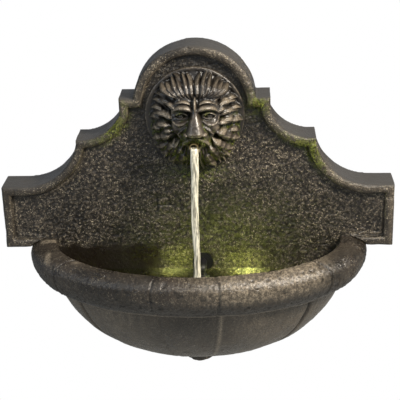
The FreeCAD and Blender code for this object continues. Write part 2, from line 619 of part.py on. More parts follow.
def swept_hose(points, radius):
    path, length = bent_path(points, radius)

    def sweep(r):
        profile = Part.Wire(Part.makeCircle(r, points[0], points[1] - points[0]))
        return path.makePipeShell([profile], True, True)

    tube = sweep(HOSE_R).cut(sweep(HOSE_BORE_R))
    share = tube.Volume / (math.pi * (HOSE_R ** 2 - HOSE_BORE_R ** 2) * length)
    print("riser hose: radius %.0f, length %.1f, volume share %.4f" % (radius, length, share))
    return tube


def riser_ends():
    low = height(BULKHEAD_UP) + BULKHEAD_LEG - HOSE_BITE
    high = height(MOUTH_UP) - ELBOW_DROP + HOSE_BITE
    return low, high


def make_riser_hose():
    low, high = riser_ends()
    y = HOSE_BACK_Y
    points = [V(BULKHEAD_X, y, low), V(BULKHEAD_X, y, low + HOSE_LEAD),
              V(0, y, high - HOSE_LEAD), V(0, y, high)]
    return swept_hose(points, HOSE_BEND_R)


def lower_hose_ends():
    return NOZZLE_TOP_Z + BARB_LONG - HOSE_BITE, height(BULKHEAD_UP) - BULKHEAD_LEG + HOSE_BITE


def make_lower_hose():
    low, high = lower_hose_ends()
    return ring_z(HOSE_R, HOSE_BORE_R, BULKHEAD_X, PUMP_Y, low, high)


def make_hose_clamps():
    riser_low, riser_high = riser_ends()
    hose_low, hose_high = lower_hose_ends()
    places = [(BULKHEAD_X, HOSE_BACK_Y, riser_low + CLAMP_INSET),
              (0, HOSE_BACK_Y, riser_high - CLAMP_INSET - CLAMP_LONG),
              (BULKHEAD_X, PUMP_Y, hose_low + CLAMP_INSET),
              (BULKHEAD_X, PUMP_Y, hose_high - CLAMP_INSET - CLAMP_LONG)]
    clamps = []
    for x, y, z in places:
        band = ring_z(HOSE_R + CLAMP_THICK, HOSE_R, x, y, z, z + CLAMP_LONG)
        screw_x = x + HOSE_R + CLAMP_THICK + CLAMP_SCREW_OUT
        screw = rod_y(CLAMP_SCREW_R, screw_x, z + CLAMP_LONG / 2,
                      y - CLAMP_SCREW_LONG / 2, y + CLAMP_SCREW_LONG / 2)
        clamps.append(band.fuse(screw.cut(rod_z(HOSE_R, x, y, z - PAST, z + CLAMP_LONG + PAST))))
    return group(clamps)


# The pump

def make_pump_housing():
    block = box(MOTOR_X, MOTOR_X + PUMP_LONG, PUMP_Y - PUMP_WIDE / 2, PUMP_Y + PUMP_WIDE / 2,
                PUMP_BASE_Z, PUMP_TOP_Z)
    long_edges = [e for e in block.Edges if e.BoundBox.XLength > PUMP_LONG / 2]
    block = block.makeFillet(PUMP_ROUND, long_edges)
    holes = [rod_x(CAN_R, PUMP_Y, PUMP_AXIS_Z, MOTOR_X - PAST, MOTOR_X + CAN_DEEP),
             rod_x(BUSH_R, PUMP_Y, PUMP_AXIS_Z, MOTOR_X, MOTOR_X + CAN_DEEP + BUSH_LONG)]
    holes += [rod_z(FOOT_STEM_R, x, y, PUMP_BASE_Z - PAST, PUMP_BASE_Z + FOOT_STEM_LONG)
              for x, y in foot_places()]
    gland_x = MOTOR_X + PUMP_LONG - GLAND_X
    holes.append(rod_z(GLAND_NECK_R, gland_x, PUMP_Y, PUMP_TOP_Z - GLAND_BURY, PUMP_TOP_Z + PAST))
    return block.cut(join(holes))


def foot_places():
    middle = MOTOR_X + PUMP_LONG / 2
    return [(middle + sx * FOOT_APART_X / 2, PUMP_Y + sy * FOOT_APART_Y / 2)
            for sx in (-1, 1) for sy in (-1, 1)]


def make_pump_feet():
    feet = []
    for x, y in foot_places():
        cup = Part.makeCone(FOOT_R, FOOT_STEM_R + FOOT_WALL / 2, FOOT_TALL, V(x, y, FLOOR_Z), Z_AXIS)
        hollow = Part.makeCone(FOOT_R - FOOT_WALL, FOOT_WALL / 2, FOOT_TALL / 2, V(x, y, FLOOR_Z), Z_AXIS)
        stem = rod_z(FOOT_STEM_R, x, y, PUMP_BASE_Z - PAST, PUMP_BASE_Z + FOOT_STEM_LONG)
        feet.append(cup.cut(hollow).fuse(stem))
    return group(feet)


def make_cable_gland():
    x = MOTOR_X + PUMP_LONG - GLAND_X
    outer = join([rod_z(GLAND_NECK_R, x, PUMP_Y, PUMP_TOP_Z - GLAND_BURY, PUMP_TOP_Z),
                  rod_z(GLAND_R, x, PUMP_Y, PUMP_TOP_Z, PUMP_TOP_Z + GLAND_TALL / 2),
                  Part.makeCone(GLAND_R, GLAND_NECK_R, GLAND_TALL / 2,
                                V(x, PUMP_Y, PUMP_TOP_Z + GLAND_TALL / 2), Z_AXIS)])
    return outer.cut(rod_z(GLAND_BORE_R, x, PUMP_Y, PUMP_TOP_Z - GLAND_BURY / 2,
                           PUMP_TOP_Z + GLAND_TALL + PAST))


def make_pump_volute():
    y, z = PUMP_Y, PUMP_AXIS_Z
    body = join([rod_x(VOLUTE_R, y, z, VOLUTE_X, MOTOR_X),
                 rod_z(OUTLET_R, BULKHEAD_X, y, z, OUTLET_TOP_Z),
                 rod_y(DIAL_BOSS_R, BULKHEAD_X, DIAL_Z, y - DIAL_BOSS_LONG, y)])
    face_end = VOLUTE_X + VOLUTE_FACE
    body = body.cut(join([rod_x(VOLUTE_BORE_R, y, z, face_end, MOTOR_X + PAST),
                          rod_z(OUTLET_BORE_R, BULKHEAD_X, y, z, OUTLET_TOP_Z + PAST),
                          rod_y(DIAL_STEM_R + SHAFT_CLEAR, BULKHEAD_X, DIAL_Z, y - DIAL_BOSS_LONG - PAST, y),
                          rod_x(EYE_R, y, z, VOLUTE_X - PAST, face_end + PAST)]))
    spokes = []
    for k in range(EYE_SPOKES):
        spoke = box(VOLUTE_X, face_end, y - EYE_SPOKE / 2, y + EYE_SPOKE / 2, z, z + EYE_R + PAST)
        spoke.rotate(V(0, y, z), X_AXIS, 360 * k / EYE_SPOKES)
        spokes.append(spoke)
    hub = rod_x(EYE_HUB_R, y, z, VOLUTE_X, face_end)
    body = body.multiFuse(spokes + [hub])
    return body.cut(rod_x(BUSH_R, y, z, VOLUTE_X - PAST, face_end + PAST))


def bush_starts():
    return VOLUTE_X, MOTOR_X + CAN_DEEP


def make_shaft_bushes():
    bushes = []
    for x in bush_starts():
        bushes.append(rod_x(BUSH_R, PUMP_Y, PUMP_AXIS_Z, x, x + BUSH_LONG).cut(
            rod_x(SHAFT_R, PUMP_Y, PUMP_AXIS_Z, x - PAST, x + BUSH_LONG + PAST)))
    return group(bushes)


def make_impeller_shaft():
    first, last = bush_starts()
    return rod_x(SHAFT_R, PUMP_Y, PUMP_AXIS_Z, first, last + BUSH_LONG)


def magnet_start():
    return MOTOR_X + (CAN_DEEP - MAGNET_LONG) / 2


def make_impeller_magnet():
    x = magnet_start()
    return rod_x(MAGNET_R, PUMP_Y, PUMP_AXIS_Z, x, x + MAGNET_LONG).cut(
        rod_x(SHAFT_R + SHAFT_CLEAR, PUMP_Y, PUMP_AXIS_Z, x - PAST, x + MAGNET_LONG + PAST))


def make_impeller():
    y, z = PUMP_Y, PUMP_AXIS_Z
    x = VOLUTE_X + VOLUTE_FACE + IMPELLER_GAP
    vanes = []
    for k in range(VANE_COUNT):
        vane = box(x, x + VANE_LONG, y - VANE_THICK / 2, y + VANE_THICK / 2, z, z + VANE_R)
        vane.rotate(V(0, y, z), X_AXIS, 360 * k / VANE_COUNT)
        vanes.append(vane)
    disc = rod_x(VANE_R, y, z, x + VANE_LONG - DISC_THICK, x + VANE_LONG)
    wheel = join(vanes + [disc, rod_x(HUB_R, y, z, x, magnet_start())])
    return wheel.cut(rod_x(SHAFT_R + SHAFT_CLEAR, y, z, x - PAST, magnet_start() + PAST))


def make_outlet_nozzle():
    x, y = BULKHEAD_X, PUMP_Y
    solid = join([rod_z(NOZZLE_R, x, y, OUTLET_TOP_Z, NOZZLE_TOP_Z),
                  rod_z(BARB_R, x, y, NOZZLE_TOP_Z, NOZZLE_TOP_Z + BARB_LONG)])
    return solid.cut(rod_z(BARB_BORE_R, x, y, OUTLET_TOP_Z - PAST, NOZZLE_TOP_Z + BARB_LONG + PAST))


def make_flow_dial():
    face_y = PUMP_Y - DIAL_BOSS_LONG
    disc_y = face_y - MOVE_GAP
    stem = rod_y(DIAL_STEM_R, BULKHEAD_X, DIAL_Z, disc_y - PAST, PUMP_Y - OUTLET_BORE_R)
    disc = rod_y(DIAL_R, BULKHEAD_X, DIAL_Z, disc_y - DIAL_THICK, disc_y)
    grip = box(BULKHEAD_X - GRIP_THICK / 2, BULKHEAD_X + GRIP_THICK / 2,
               disc_y - DIAL_THICK - GRIP_PROUD, disc_y,
               DIAL_Z - DIAL_R + GRIP_SHORT, DIAL_Z + DIAL_R - GRIP_SHORT)
    return join([disc, stem, grip])


def cage_box(inset, x0, x1):
    half_y, half_z = PUMP_WIDE / 2 - inset, PUMP_TALL / 2 - inset
    return box(x0, x1, PUMP_Y - half_y, PUMP_Y + half_y, PUMP_AXIS_Z - half_z, PUMP_AXIS_Z + half_z)


def make_pump_strainer():
    end_x = MOTOR_X - MOVE_GAP
    start_x = end_x - CAGE_LONG
    cage = cage_box(0, start_x, end_x)
    cage = cage.makeFillet(PUMP_ROUND / 2, [e for e in cage.Edges if e.BoundBox.XLength > CAGE_LONG / 2])
    cage = cage.cut(cage_box(CAGE_WALL, start_x + CAGE_WALL, end_x + PAST))
    cuts = [box(BULKHEAD_X - NOTCH_HALF, end_x + PAST, PUMP_Y - NOTCH_HALF, PUMP_Y + NOTCH_HALF,
                PUMP_TOP_Z - CAGE_WALL - PAST, PUMP_TOP_Z + PAST)]
    pitch = (PUMP_WIDE - 4 * CAGE_WALL) / CAGE_SLOTS
    for k in range(CAGE_SLOTS):
        slot_y = PUMP_Y + (k - (CAGE_SLOTS - 1) / 2) * pitch
        cuts.append(box(start_x - PAST, start_x + CAGE_WALL + PAST,
                        slot_y - CAGE_SLOT_WIDE / 2, slot_y + CAGE_SLOT_WIDE / 2,
                        PUMP_AXIS_Z - CAGE_SLOT_TALL / 2, PUMP_AXIS_Z + CAGE_SLOT_TALL / 2))
    return cage.cut(join(cuts))


def make_strainer_sponge():
    start_x = MOTOR_X - MOVE_GAP - CAGE_LONG + CAGE_WALL
    return cage_box(CAGE_WALL + SPONGE_CLEAR, start_x, start_x + SPONGE_THICK)


# A spotlight, built pointing up at its pivot and then leaned towards the panel

def leaned(shape, x):
    shape.rotate(V(x, SPOT_Y, PIVOT_Z), X_AXIS, -SPOT_LEAN_DEG)
    return shape


def spot_top():
    return PIVOT_Z + SPOT_LONG / 2


def board_z():
    return spot_top() - BEZEL_THICK - LENS_THICK - BOARD_DEEP - BOARD_THICK


def make_spot_bracket(x):
    inner = SPOT_R + SPOT_SIDE_CLEAR
    outer = inner + SPOT_SHEET
    base = box(x - SPOT_BASE_X / 2, x + SPOT_BASE_X / 2, SPOT_Y - SPOT_BASE_Y / 2, SPOT_Y + SPOT_BASE_Y / 2,
               FLOOR_Z, FLOOR_Z + SPOT_SHEET)
    ears = [box(x + start, x + start + SPOT_SHEET, SPOT_Y - SPOT_EAR_WIDE / 2, SPOT_Y + SPOT_EAR_WIDE / 2,
                FLOOR_Z, FLOOR_Z + SPOT_EAR_TALL) for start in (-outer, inner)]
    return join([base] + ears).cut(rod_x(SPOT_PIN_R, SPOT_Y, PIVOT_Z, x - outer - PAST, x + outer + PAST))


def make_spot_pins(x):
    pins = []
    for side in (-1, 1):
        tip = x + side * (SPOT_R - SPOT_PIN_BITE)
        seat = x + side * (SPOT_R + SPOT_SIDE_CLEAR + SPOT_SHEET)
        pin = rod_x(SPOT_PIN_R, SPOT_Y, PIVOT_Z, tip, seat)
        pins.append(pin.fuse(rod_x(SPOT_PIN_HEAD_R, SPOT_Y, PIVOT_Z, seat, seat + side * SPOT_PIN_HEAD_LONG)))
    return group(pins)


def make_spot_housing(x):
    top, bottom = spot_top(), PIVOT_Z - SPOT_LONG / 2
    body = rod_z(SPOT_R, x, SPOT_Y, bottom, top - BEZEL_THICK)
    well = rod_z(SPOT_BORE_R, x, SPOT_Y, board_z(), top)
    deep = SPOT_R - SPOT_PIN_BITE - SPOT_SIDE_CLEAR
    holes = [rod_x(SPOT_PIN_R + SPOT_PIN_CLEAR, SPOT_Y, PIVOT_Z, x + side * deep, x + side * (SPOT_R + PAST))
             for side in (-1, 1)]
    return leaned(body.cut(join([well] + holes)), x)


def make_spot_bezel(x):
    top = spot_top()
    return leaned(ring_z(SPOT_R, BEZEL_BORE_R, x, SPOT_Y, top - BEZEL_THICK, top), x)


def make_spot_lens(x):
    top = spot_top() - BEZEL_THICK
    return leaned(rod_z(SPOT_BORE_R, x, SPOT_Y, top - LENS_THICK, top), x)


def make_spot_board(x):
    z = board_z()
    shapes = [rod_z(SPOT_BORE_R, x, SPOT_Y, z, z + BOARD_THICK)]
    for k in range(CHIP_COUNT):
        turn = math.radians(360 * k / CHIP_COUNT)
        shapes.append(rod_z(CHIP_R, x + CHIP_RING_R * math.cos(turn), SPOT_Y + CHIP_RING_R * math.sin(turn),
                            z, z + BOARD_THICK + CHIP_TALL))
    return leaned(join(shapes), x)


# The drain

def make_drain_insert():
    return ring_z(DRAIN_INSERT_R, DRAIN_BORE_R, 0, DRAIN_Y, BOSS_Z + DRAIN_POCKET, FLOOR_Z)


def make_drain_washer():
    top = BOSS_Z + DRAIN_POCKET
    return ring_z(DRAIN_WASHER_R, DRAIN_WASHER_BORE_R, 0, DRAIN_Y, top - DRAIN_WASHER_THICK, top)


def make_drain_plug():
    top = BOSS_Z + DRAIN_POCKET - DRAIN_WASHER_THICK - MOVE_GAP
    head = hex_prism(DRAIN_HEAD_R, V(0, DRAIN_Y, top - DRAIN_HEAD_LONG), V(0, 0, DRAIN_HEAD_LONG))
    return head.fuse(rod_z(DRAIN_SHANK_R, 0, DRAIN_Y, top - PAST, FLOOR_Z - DRAIN_SHANK_SHORT))


def all_nodes():
    nodes = {
        "back_panel": make_back_panel, "basin": make_basin, "basin_seal": make_basin_seal,
        "basin_bolts": make_basin_bolts, "basin_washers": make_basin_washers,
        "wall_cleat": make_wall_cleat, "panel_cleat": make_panel_cleat, "cleat_screws": make_cleat_screws,
        "lion_mask": make_lion_mask, "mask_screws": make_mask_screws, "spout_pipe": make_spout_pipe,
        "spout_washer": make_spout_washer, "spout_nut": make_spout_nut, "spout_elbow": make_spout_elbow,
        "bulkhead_fitting": make_bulkhead_fitting, "bulkhead_seal": make_bulkhead_seal,
        "bulkhead_nut": make_bulkhead_nut, "riser_hose": make_riser_hose, "lower_hose": make_lower_hose,
        "hose_clamps": make_hose_clamps, "pump_housing": make_pump_housing, "pump_feet": make_pump_feet,
        "cable_gland": make_cable_gland, "pump_volute": make_pump_volute, "shaft_bushes": make_shaft_bushes,
        "impeller_shaft": make_impeller_shaft, "impeller_magnet": make_impeller_magnet,
        "impeller": make_impeller, "outlet_nozzle": make_outlet_nozzle, "flow_dial": make_flow_dial,
        "pump_strainer": make_pump_strainer, "strainer_sponge": make_strainer_sponge,
        "drain_insert": make_drain_insert, "drain_washer": make_drain_washer, "drain_plug": make_drain_plug,
    }
    spot_pieces = {"bracket": make_spot_bracket, "pins": make_spot_pins, "housing": make_spot_housing,
                   "bezel": make_spot_bezel, "lens": make_spot_lens, "board": make_spot_board}
    for side, x in SPOT_X.items():
        for piece, make in spot_pieces.items():
            nodes["spot_%s_%s" % (side, piece)] = lambda make=make, x=x: make(x)
    return nodes


os.makedirs("parts", exist_ok=True)
for name, make in all_nodes().items():
    shape = make()
    if not shape.isValid() or not shape.Solids:
        print("check", name)
    shape.exportStep("parts/%s.step" % name)
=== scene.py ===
import json
import math

import bmesh
import bpy
import numpy as np
from mathutils import Matrix, Vector


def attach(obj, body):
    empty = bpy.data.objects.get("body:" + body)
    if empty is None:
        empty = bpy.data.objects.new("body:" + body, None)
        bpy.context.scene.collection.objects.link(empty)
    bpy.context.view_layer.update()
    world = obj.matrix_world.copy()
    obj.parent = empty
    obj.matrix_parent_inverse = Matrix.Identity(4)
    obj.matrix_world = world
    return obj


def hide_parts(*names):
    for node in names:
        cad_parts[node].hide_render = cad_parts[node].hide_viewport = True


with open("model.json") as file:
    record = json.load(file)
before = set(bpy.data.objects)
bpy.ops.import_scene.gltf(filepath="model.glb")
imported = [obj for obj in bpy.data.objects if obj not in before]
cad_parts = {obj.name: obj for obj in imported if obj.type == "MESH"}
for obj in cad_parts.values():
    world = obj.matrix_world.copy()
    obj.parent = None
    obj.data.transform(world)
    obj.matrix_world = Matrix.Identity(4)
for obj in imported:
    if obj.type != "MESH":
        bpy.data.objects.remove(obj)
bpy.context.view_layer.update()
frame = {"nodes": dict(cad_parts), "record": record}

# Camera, at the photograph's angle, on the row frame
CAMERA_AT = Vector((0.10119, -2.01887, 0.73320))
CAMERA_YAW, CAMERA_PITCH, CAMERA_ROLL = -0.04873, 0.37824, -0.02585
CAMERA_LENS = 99.15

forward = Vector((math.sin(CAMERA_YAW) * math.cos(CAMERA_PITCH),
                  math.cos(CAMERA_YAW) * math.cos(CAMERA_PITCH), -math.sin(CAMERA_PITCH)))
level = Vector((math.cos(CAMERA_YAW), -math.sin(CAMERA_YAW), 0))
upright = level.cross(forward)
right = math.cos(CAMERA_ROLL) * level + math.sin(CAMERA_ROLL) * upright
up = math.cos(CAMERA_ROLL) * upright - math.sin(CAMERA_ROLL) * level
camera = bpy.data.objects.new("camera", bpy.data.cameras.new("camera"))
camera.data.lens = CAMERA_LENS
camera.data.sensor_width = 36
camera.matrix_world = Matrix.Translation(CAMERA_AT) @ Matrix((right, up, -forward)).transposed().to_4x4()
bpy.context.scene.collection.objects.link(camera)
bpy.context.scene.camera = camera
bpy.context.scene.view_settings.view_transform = "Standard"


# Light and floor: a warm key from the right, a sheen from the front right and a cool fill
# from the left, with a floor and a surround that the camera sees as plain white
def put(tree, kind, sockets=(), **settings):
    """Adds a shader node; each socket named takes a value or a link."""
    node = tree.nodes.new("ShaderNode" + kind)
    for name, value in settings.items():
        setattr(node, name, value)
    for name, value in dict(sockets).items():
        if isinstance(value, bpy.types.NodeSocket):
            tree.links.new(value, node.inputs[name])
        else:
            node.inputs[name].default_value = value
    return node


def soft_light(name, at, size, energy, colour, aim=(0, -0.1, -0.05)):
    lamp = bpy.data.objects.new(name, bpy.data.lights.new(name, "AREA"))
    lamp.data.size = size
    lamp.data.energy = energy
    lamp.data.color = colour
    lamp.location = at
    lamp.rotation_euler = (Vector(aim) - Vector(at)).to_track_quat("-Z", "Y").to_euler()
    lamp.visible_camera = lamp.visible_transmission = False
    bpy.context.scene.collection.objects.link(lamp)


soft_light("key", at=(1.35, -0.95, 1.30), size=0.42, energy=58, colour=(1.0, 0.90, 0.77))
soft_light("fill", at=(-1.6, -1.5, 0.9), size=1.2, energy=11, colour=(0.80, 0.90, 1.0))
soft_light("sheen", at=(0.66, -1.25, 1.60), size=0.40, energy=19, colour=(1.0, 0.95, 0.87))

world = bpy.data.worlds.new("surround")
bpy.context.scene.world = world
world.use_nodes = True
sky = world.node_tree
sky.nodes.clear()
seen = put(sky, "LightPath")
plain = put(sky, "Background", {"Color": (1, 1, 1, 1), "Strength": 1.0})
soft = put(sky, "Background", {"Color": (0.80, 0.86, 0.95, 1), "Strength": 0.32})
either = put(sky, "MixShader", {0: seen.outputs["Is Camera Ray"], 1: soft.outputs[0], 2: plain.outputs[0]})
put(sky, "OutputWorld", {"Surface": either.outputs[0]})

FLOOR_Z, FLOOR_SIZE = -1.1, 8
floor_white = bpy.data.materials.new("floor_white")
floor_white.use_nodes = True
tree = floor_white.node_tree
tree.nodes.clear()
seen = put(tree, "LightPath")
flat = put(tree, "Emission", {"Color": (1, 1, 1, 1), "Strength": 1.0})
dull = put(tree, "BsdfDiffuse", {"Color": (0.5, 0.5, 0.48, 1)})
either = put(tree, "MixShader", {0: seen.outputs["Is Camera Ray"], 1: dull.outputs[0], 2: flat.outputs[0]})
put(tree, "OutputMaterial", {"Surface": either.outputs[0]})
bpy.ops.mesh.primitive_plane_add(size=FLOOR_SIZE, location=(0, 0, FLOOR_Z))
floor = bpy.context.object
floor.name = "floor"
floor.data.materials.append(floor_white)


# The back panel: one hollow casting in stone-filled resin, with a rolled border, a thin
# bead inside it and a rough recessed face like stucco. It hangs on the wall cleat and
# carries everything else.
def new_group(name, inputs=(), lit=False):
    """An empty node group that works out one kind of surface from the place on the object."""
    group = bpy.data.node_groups.new(name, "ShaderNodeTree")
    sockets = group.interface
    for label, kind, value in inputs:
        socket = sockets.new_socket(label, in_out="INPUT", socket_type="NodeSocket" + kind)
        socket.default_value = value
    outputs = [("Color", "Color"), ("Roughness", "Float"), ("Height", "Float")]
    for label, kind in outputs + [("Emission Color", "Color")] * lit:
        sockets.new_socket(label, in_out="OUTPUT", socket_type="NodeSocket" + kind)
    return group, put(group, "TexCoord").outputs["Object"], group.nodes.new("NodeGroupInput")


def noise(tree, place, scale, detail=3.0, rough=0.6, stretch=None):
    if stretch:
        place = put(tree, "Mapping", {"Vector": place, "Scale": stretch}).outputs[0]
    grain = put(tree, "TexNoise", {"Vector": place, "Scale": scale, "Detail": detail, "Roughness": rough})
    return grain.outputs[0]


def ramp(tree, value, low, high, to_low=0.0, to_high=1.0):
    node = put(tree, "MapRange", {"Value": value, "From Min": low, "From Max": high,
                                  "To Min": to_low, "To Max": to_high}, interpolation_type="SMOOTHSTEP")
    return node.outputs[0]


def maths(tree, kind, first, second=0.0):
    return put(tree, "Math", {0: first, 1: second}, operation=kind).outputs[0]


def mix(tree, share, first, second):
    node = put(tree, "Mix", {"Factor": share}, data_type="RGBA")
    for socket, value in ((node.inputs[6], first), (node.inputs[7], second)):
        if isinstance(value, bpy.types.NodeSocket):
            tree.links.new(value, socket)
        else:
            socket.default_value = tuple(value) + (1.0,)
    return node.outputs[2]


def near(tree, place, centre, reach):
    """1 at the centre, falling smoothly to 0; reach is the half size along X, Y and Z."""
    moved = put(tree, "VectorMath", {0: place, 1: centre}, operation="SUBTRACT").outputs[0]
    scaled = put(tree, "VectorMath", {0: moved, 1: reach}, operation="DIVIDE").outputs[0]
    distance = put(tree, "VectorMath", {0: scaled}, operation="LENGTH").outputs["Value"]
    return ramp(tree, distance, 1.0, 0.15)


def attribute(tree, name):
    return put(tree, "Attribute", attribute_name=name).outputs["Fac"]


def finish_group(group, **outputs):
    end = group.nodes.new("NodeGroupOutput")
    for name, value in outputs.items():
        group.links.new(value, end.inputs[name.replace("_", " ")])


# Aged cast resin: near-black brown with tan grains and painted glints on the rough face,
# wear and painted highlights on raised edges, painted shade in hollows, grey dust and painted
# sky light on ledges, moss where it stays wet, and a painted glow of the lamps' light on the
# wet face behind the bowl
FACE_Y, GLOW_DEEP = -0.059, 0.0075
RESIN_DARK, RESIN_BROWN, RESIN_WARM = (0.008, 0.0065, 0.005), (0.026, 0.021, 0.015), (0.085, 0.066, 0.050)
TAN_GRAIN_AND_GLINT, WEAR_AND_HIGHLIGHT_TAN, SHADE_DARK = (0.60, 0.52, 0.37), (0.33, 0.275, 0.20), (0.006, 0.005, 0.004)
DUST_AND_SKY_GREY, WET_BROWN = (0.060, 0.056, 0.050), (0.013, 0.009, 0.006)
MOSS_DARK, MOSS_BRIGHT, LAMP_GREEN = (0.030, 0.038, 0.006), (0.21, 0.24, 0.035), (0.30, 0.31, 0.055)

cast_group, place, given = new_group(
    "aged_cast", [(label, "Float", 0.0) for label in ("Grain", "Warmth", "Gloss", "Glow")], lit=True)
patchy = noise(cast_group, place, 26, 4)
colour = mix(cast_group, ramp(cast_group, patchy, 0.35, 0.7), RESIN_DARK, RESIN_BROWN)
warm_spot = noise(cast_group, place, 11, 3)
warm_share = maths(cast_group, "MULTIPLY", ramp(cast_group, warm_spot, 0.38, 0.66), given.outputs["Warmth"])
colour = mix(cast_group, warm_share, colour, RESIN_WARM)
# Tan specks: the stone fill's grains, and painted glints of light off the rough face
specks = noise(cast_group, place, 470, 2, 0.7)
specks_big = noise(cast_group, place, 190, 3, 0.7)
grain_and_glint_share = maths(cast_group, "MULTIPLY", ramp(cast_group, specks, 0.54, 0.66),
                    ramp(cast_group, specks_big, 0.40, 0.60))
grain_and_glint_share = maths(cast_group, "MULTIPLY", grain_and_glint_share, ramp(cast_group, warm_spot, 0.36, 0.60, 0.35, 1.0))
grain_and_glint_share = maths(cast_group, "MULTIPLY", grain_and_glint_share, given.outputs["Grain"])
colour = mix(cast_group, grain_and_glint_share, colour, TAN_GRAIN_AND_GLINT)
# Wear and painted highlights: raised edges and crests turn lighter and tan
worn = maths(cast_group, "MULTIPLY", attribute(cast_group, "worn"),
             ramp(cast_group, specks, 0.36, 0.58, 0.25, 1.0))
colour = mix(cast_group, worn, colour, WEAR_AND_HIGHLIGHT_TAN)
# Painted shade: hollows, creases and grooves darkened towards near black
deep = maths(cast_group, "MULTIPLY", attribute(cast_group, "deep"), 0.85)
colour = mix(cast_group, deep, colour, SHADE_DARK)
# Grey on upward ledges: dust, and painted sky light from above
facing = put(cast_group, "NewGeometry").outputs["Normal"]
facing_up = put(cast_group, "SeparateXYZ", {0: facing}).outputs["Z"]
dust_and_sky_light = maths(cast_group, "MULTIPLY", ramp(cast_group, facing_up, 0.55, 0.9), attribute(cast_group, "ledge"))
colour = mix(cast_group, dust_and_sky_light, colour, DUST_AND_SKY_GREY)
wet = attribute(cast_group, "wet")
colour = mix(cast_group, wet, colour, WET_BROWN)
mossy = maths(cast_group, "MULTIPLY", attribute(cast_group, "moss"),
              ramp(cast_group, noise(cast_group, place, 120, 4), 0.40, 0.60))
colour = mix(cast_group, mossy, colour, mix(cast_group, specks, MOSS_DARK, MOSS_BRIGHT))
# Painted glow: the lamps' light on the wet face, given as emission in two pools and a faint wide one
glow_left = near(cast_group, place, (-0.038, FACE_Y, -0.168), (0.050, GLOW_DEEP, 0.040))
glow_right = near(cast_group, place, (0.090, FACE_Y, -0.174), (0.060, GLOW_DEEP, 0.036))
glow_wide = near(cast_group, place, (0.045, FACE_Y, -0.135), (0.150, GLOW_DEEP, 0.125))
grit = ramp(cast_group, specks_big, 0.34, 0.68, 0.04, 1.0)
glow = maths(cast_group, "MULTIPLY", maths(cast_group, "MAXIMUM", glow_left, glow_right), grit)
glow = maths(cast_group, "MULTIPLY", glow, ramp(cast_group, specks, 0.35, 0.65, 0.25, 1.0))
glow_wide = maths(cast_group, "MULTIPLY", maths(cast_group, "MULTIPLY", glow_wide, grit), 0.05)
glow = maths(cast_group, "ADD", glow, glow_wide)
glow = maths(cast_group, "MULTIPLY", glow, given.outputs["Glow"])
glow_colour = mix(cast_group, glow, (0.0, 0.0, 0.0), LAMP_GREEN)
roughness = ramp(cast_group, patchy, 0.3, 0.8, 0.38, 0.60)
roughness = maths(cast_group, "SUBTRACT", roughness, given.outputs["Gloss"])
roughness = maths(cast_group, "SUBTRACT", roughness, maths(cast_group, "MULTIPLY", wet, 0.12))
fine = maths(cast_group, "MULTIPLY", noise(cast_group, place, 420, 3, 0.7), 0.5)
height = maths(cast_group, "ADD", fine, maths(cast_group, "MULTIPLY", specks_big, 0.8))
finish_group(cast_group, Color=colour, Roughness=roughness, Height=height, Emission_Color=glow_colour)


def shaded(name, group, inputs=(), bump=0.3, bump_deep=0.001, **fixed):
    """A material whose shader takes its colour, roughness and relief from a group."""
    material = bpy.data.materials.new(name)
    material.use_nodes = True
    tree = material.node_tree
    tree.nodes.clear()
    surface = tree.nodes.new("ShaderNodeGroup")
    surface.node_tree = group
    for label, value in dict(inputs).items():
        surface.inputs[label].default_value = value
    levels = {label.replace("_", " "): value for label, value in fixed.items()}
    shader = put(tree, "BsdfPrincipled", levels)
    for output in ("Color", "Roughness", "Emission Color"):
        if output in surface.outputs:
            target = "Base Color" if output == "Color" else output
            tree.links.new(surface.outputs[output], shader.inputs[target])
    relief = put(tree, "Bump", {"Height": surface.outputs["Height"], "Strength": bump,
                                "Distance": bump_deep})
    tree.links.new(relief.outputs[0], shader.inputs["Normal"])
    put(tree, "OutputMaterial", {"Surface": shader.outputs[0]})
    return material


def cast_resin(name, grain, warmth, gloss, bump, bump_deep, shine, glow=0.0):
    """The aged resin of one casting: how grainy, warm in tone, glossy and rough it is."""
    levels = {"Grain": grain, "Warmth": warmth, "Gloss": gloss, "Glow": glow}
    return shaded(name, cast_group, levels, bump, bump_deep, Emission_Strength=1.0,
                  Specular_IOR_Level=shine)


# A casting is a copy of its CAD shape, remeshed evenly and pushed about along its
# normals, with what was done kept on the mesh for the patina, the painted shade and the
# painted highlights
def hashed(cells, seed):
    """A fixed number from 0 to 1 for each row of whole numbers."""
    n = cells[:, 0] * 73856093 ^ cells[:, 1] * 19349663 ^ cells[:, 2] * 83492791 ^ (seed * 40503 + 12345)
    n = (n ^ n >> 13) * 1274126177 & 0x7FFFFFFF
    n = (n ^ n >> 15) * 668265263 & 0x7FFFFFFF
    return (n >> 7 & 0xFFFF) / 65535.0


def lumps(points, size, seed=0):
    """Smooth noise from 0 to 1 with lumps of one size, in metres or one size per axis."""
    scaled = points / np.asarray(size)
    cell = np.floor(scaled).astype(np.int64)
    part = scaled - cell
    part = part * part * (3 - 2 * part)
    total = np.zeros(len(points))
    for corner in range(8):
        offset = np.array([corner & 1, corner >> 1 & 1, corner >> 2 & 1])
        total += np.prod(np.where(offset == 1, part, 1 - part), axis=1) * hashed(cell + offset, seed)
    return total


def pebbles(points, size, seed=0):
    """Rounded grains from 0 to 1, about one to each cell of the size given."""
    cell = np.floor(points / size).astype(np.int64)
    best = np.zeros(len(points))
    for step in np.ndindex(3, 3, 3):
        near_cell = cell + np.array(step) - 1
        centre = near_cell + np.stack([hashed(near_cell, seed + k) for k in range(3)], axis=1)
        radius = 0.35 + 0.45 * hashed(near_cell, seed + 3)
        apart = np.linalg.norm(points / size - centre, axis=1) / radius
        best = np.maximum(best, np.sqrt(np.clip(1 - apart ** 2, 0, 1)) * radius)
    return best


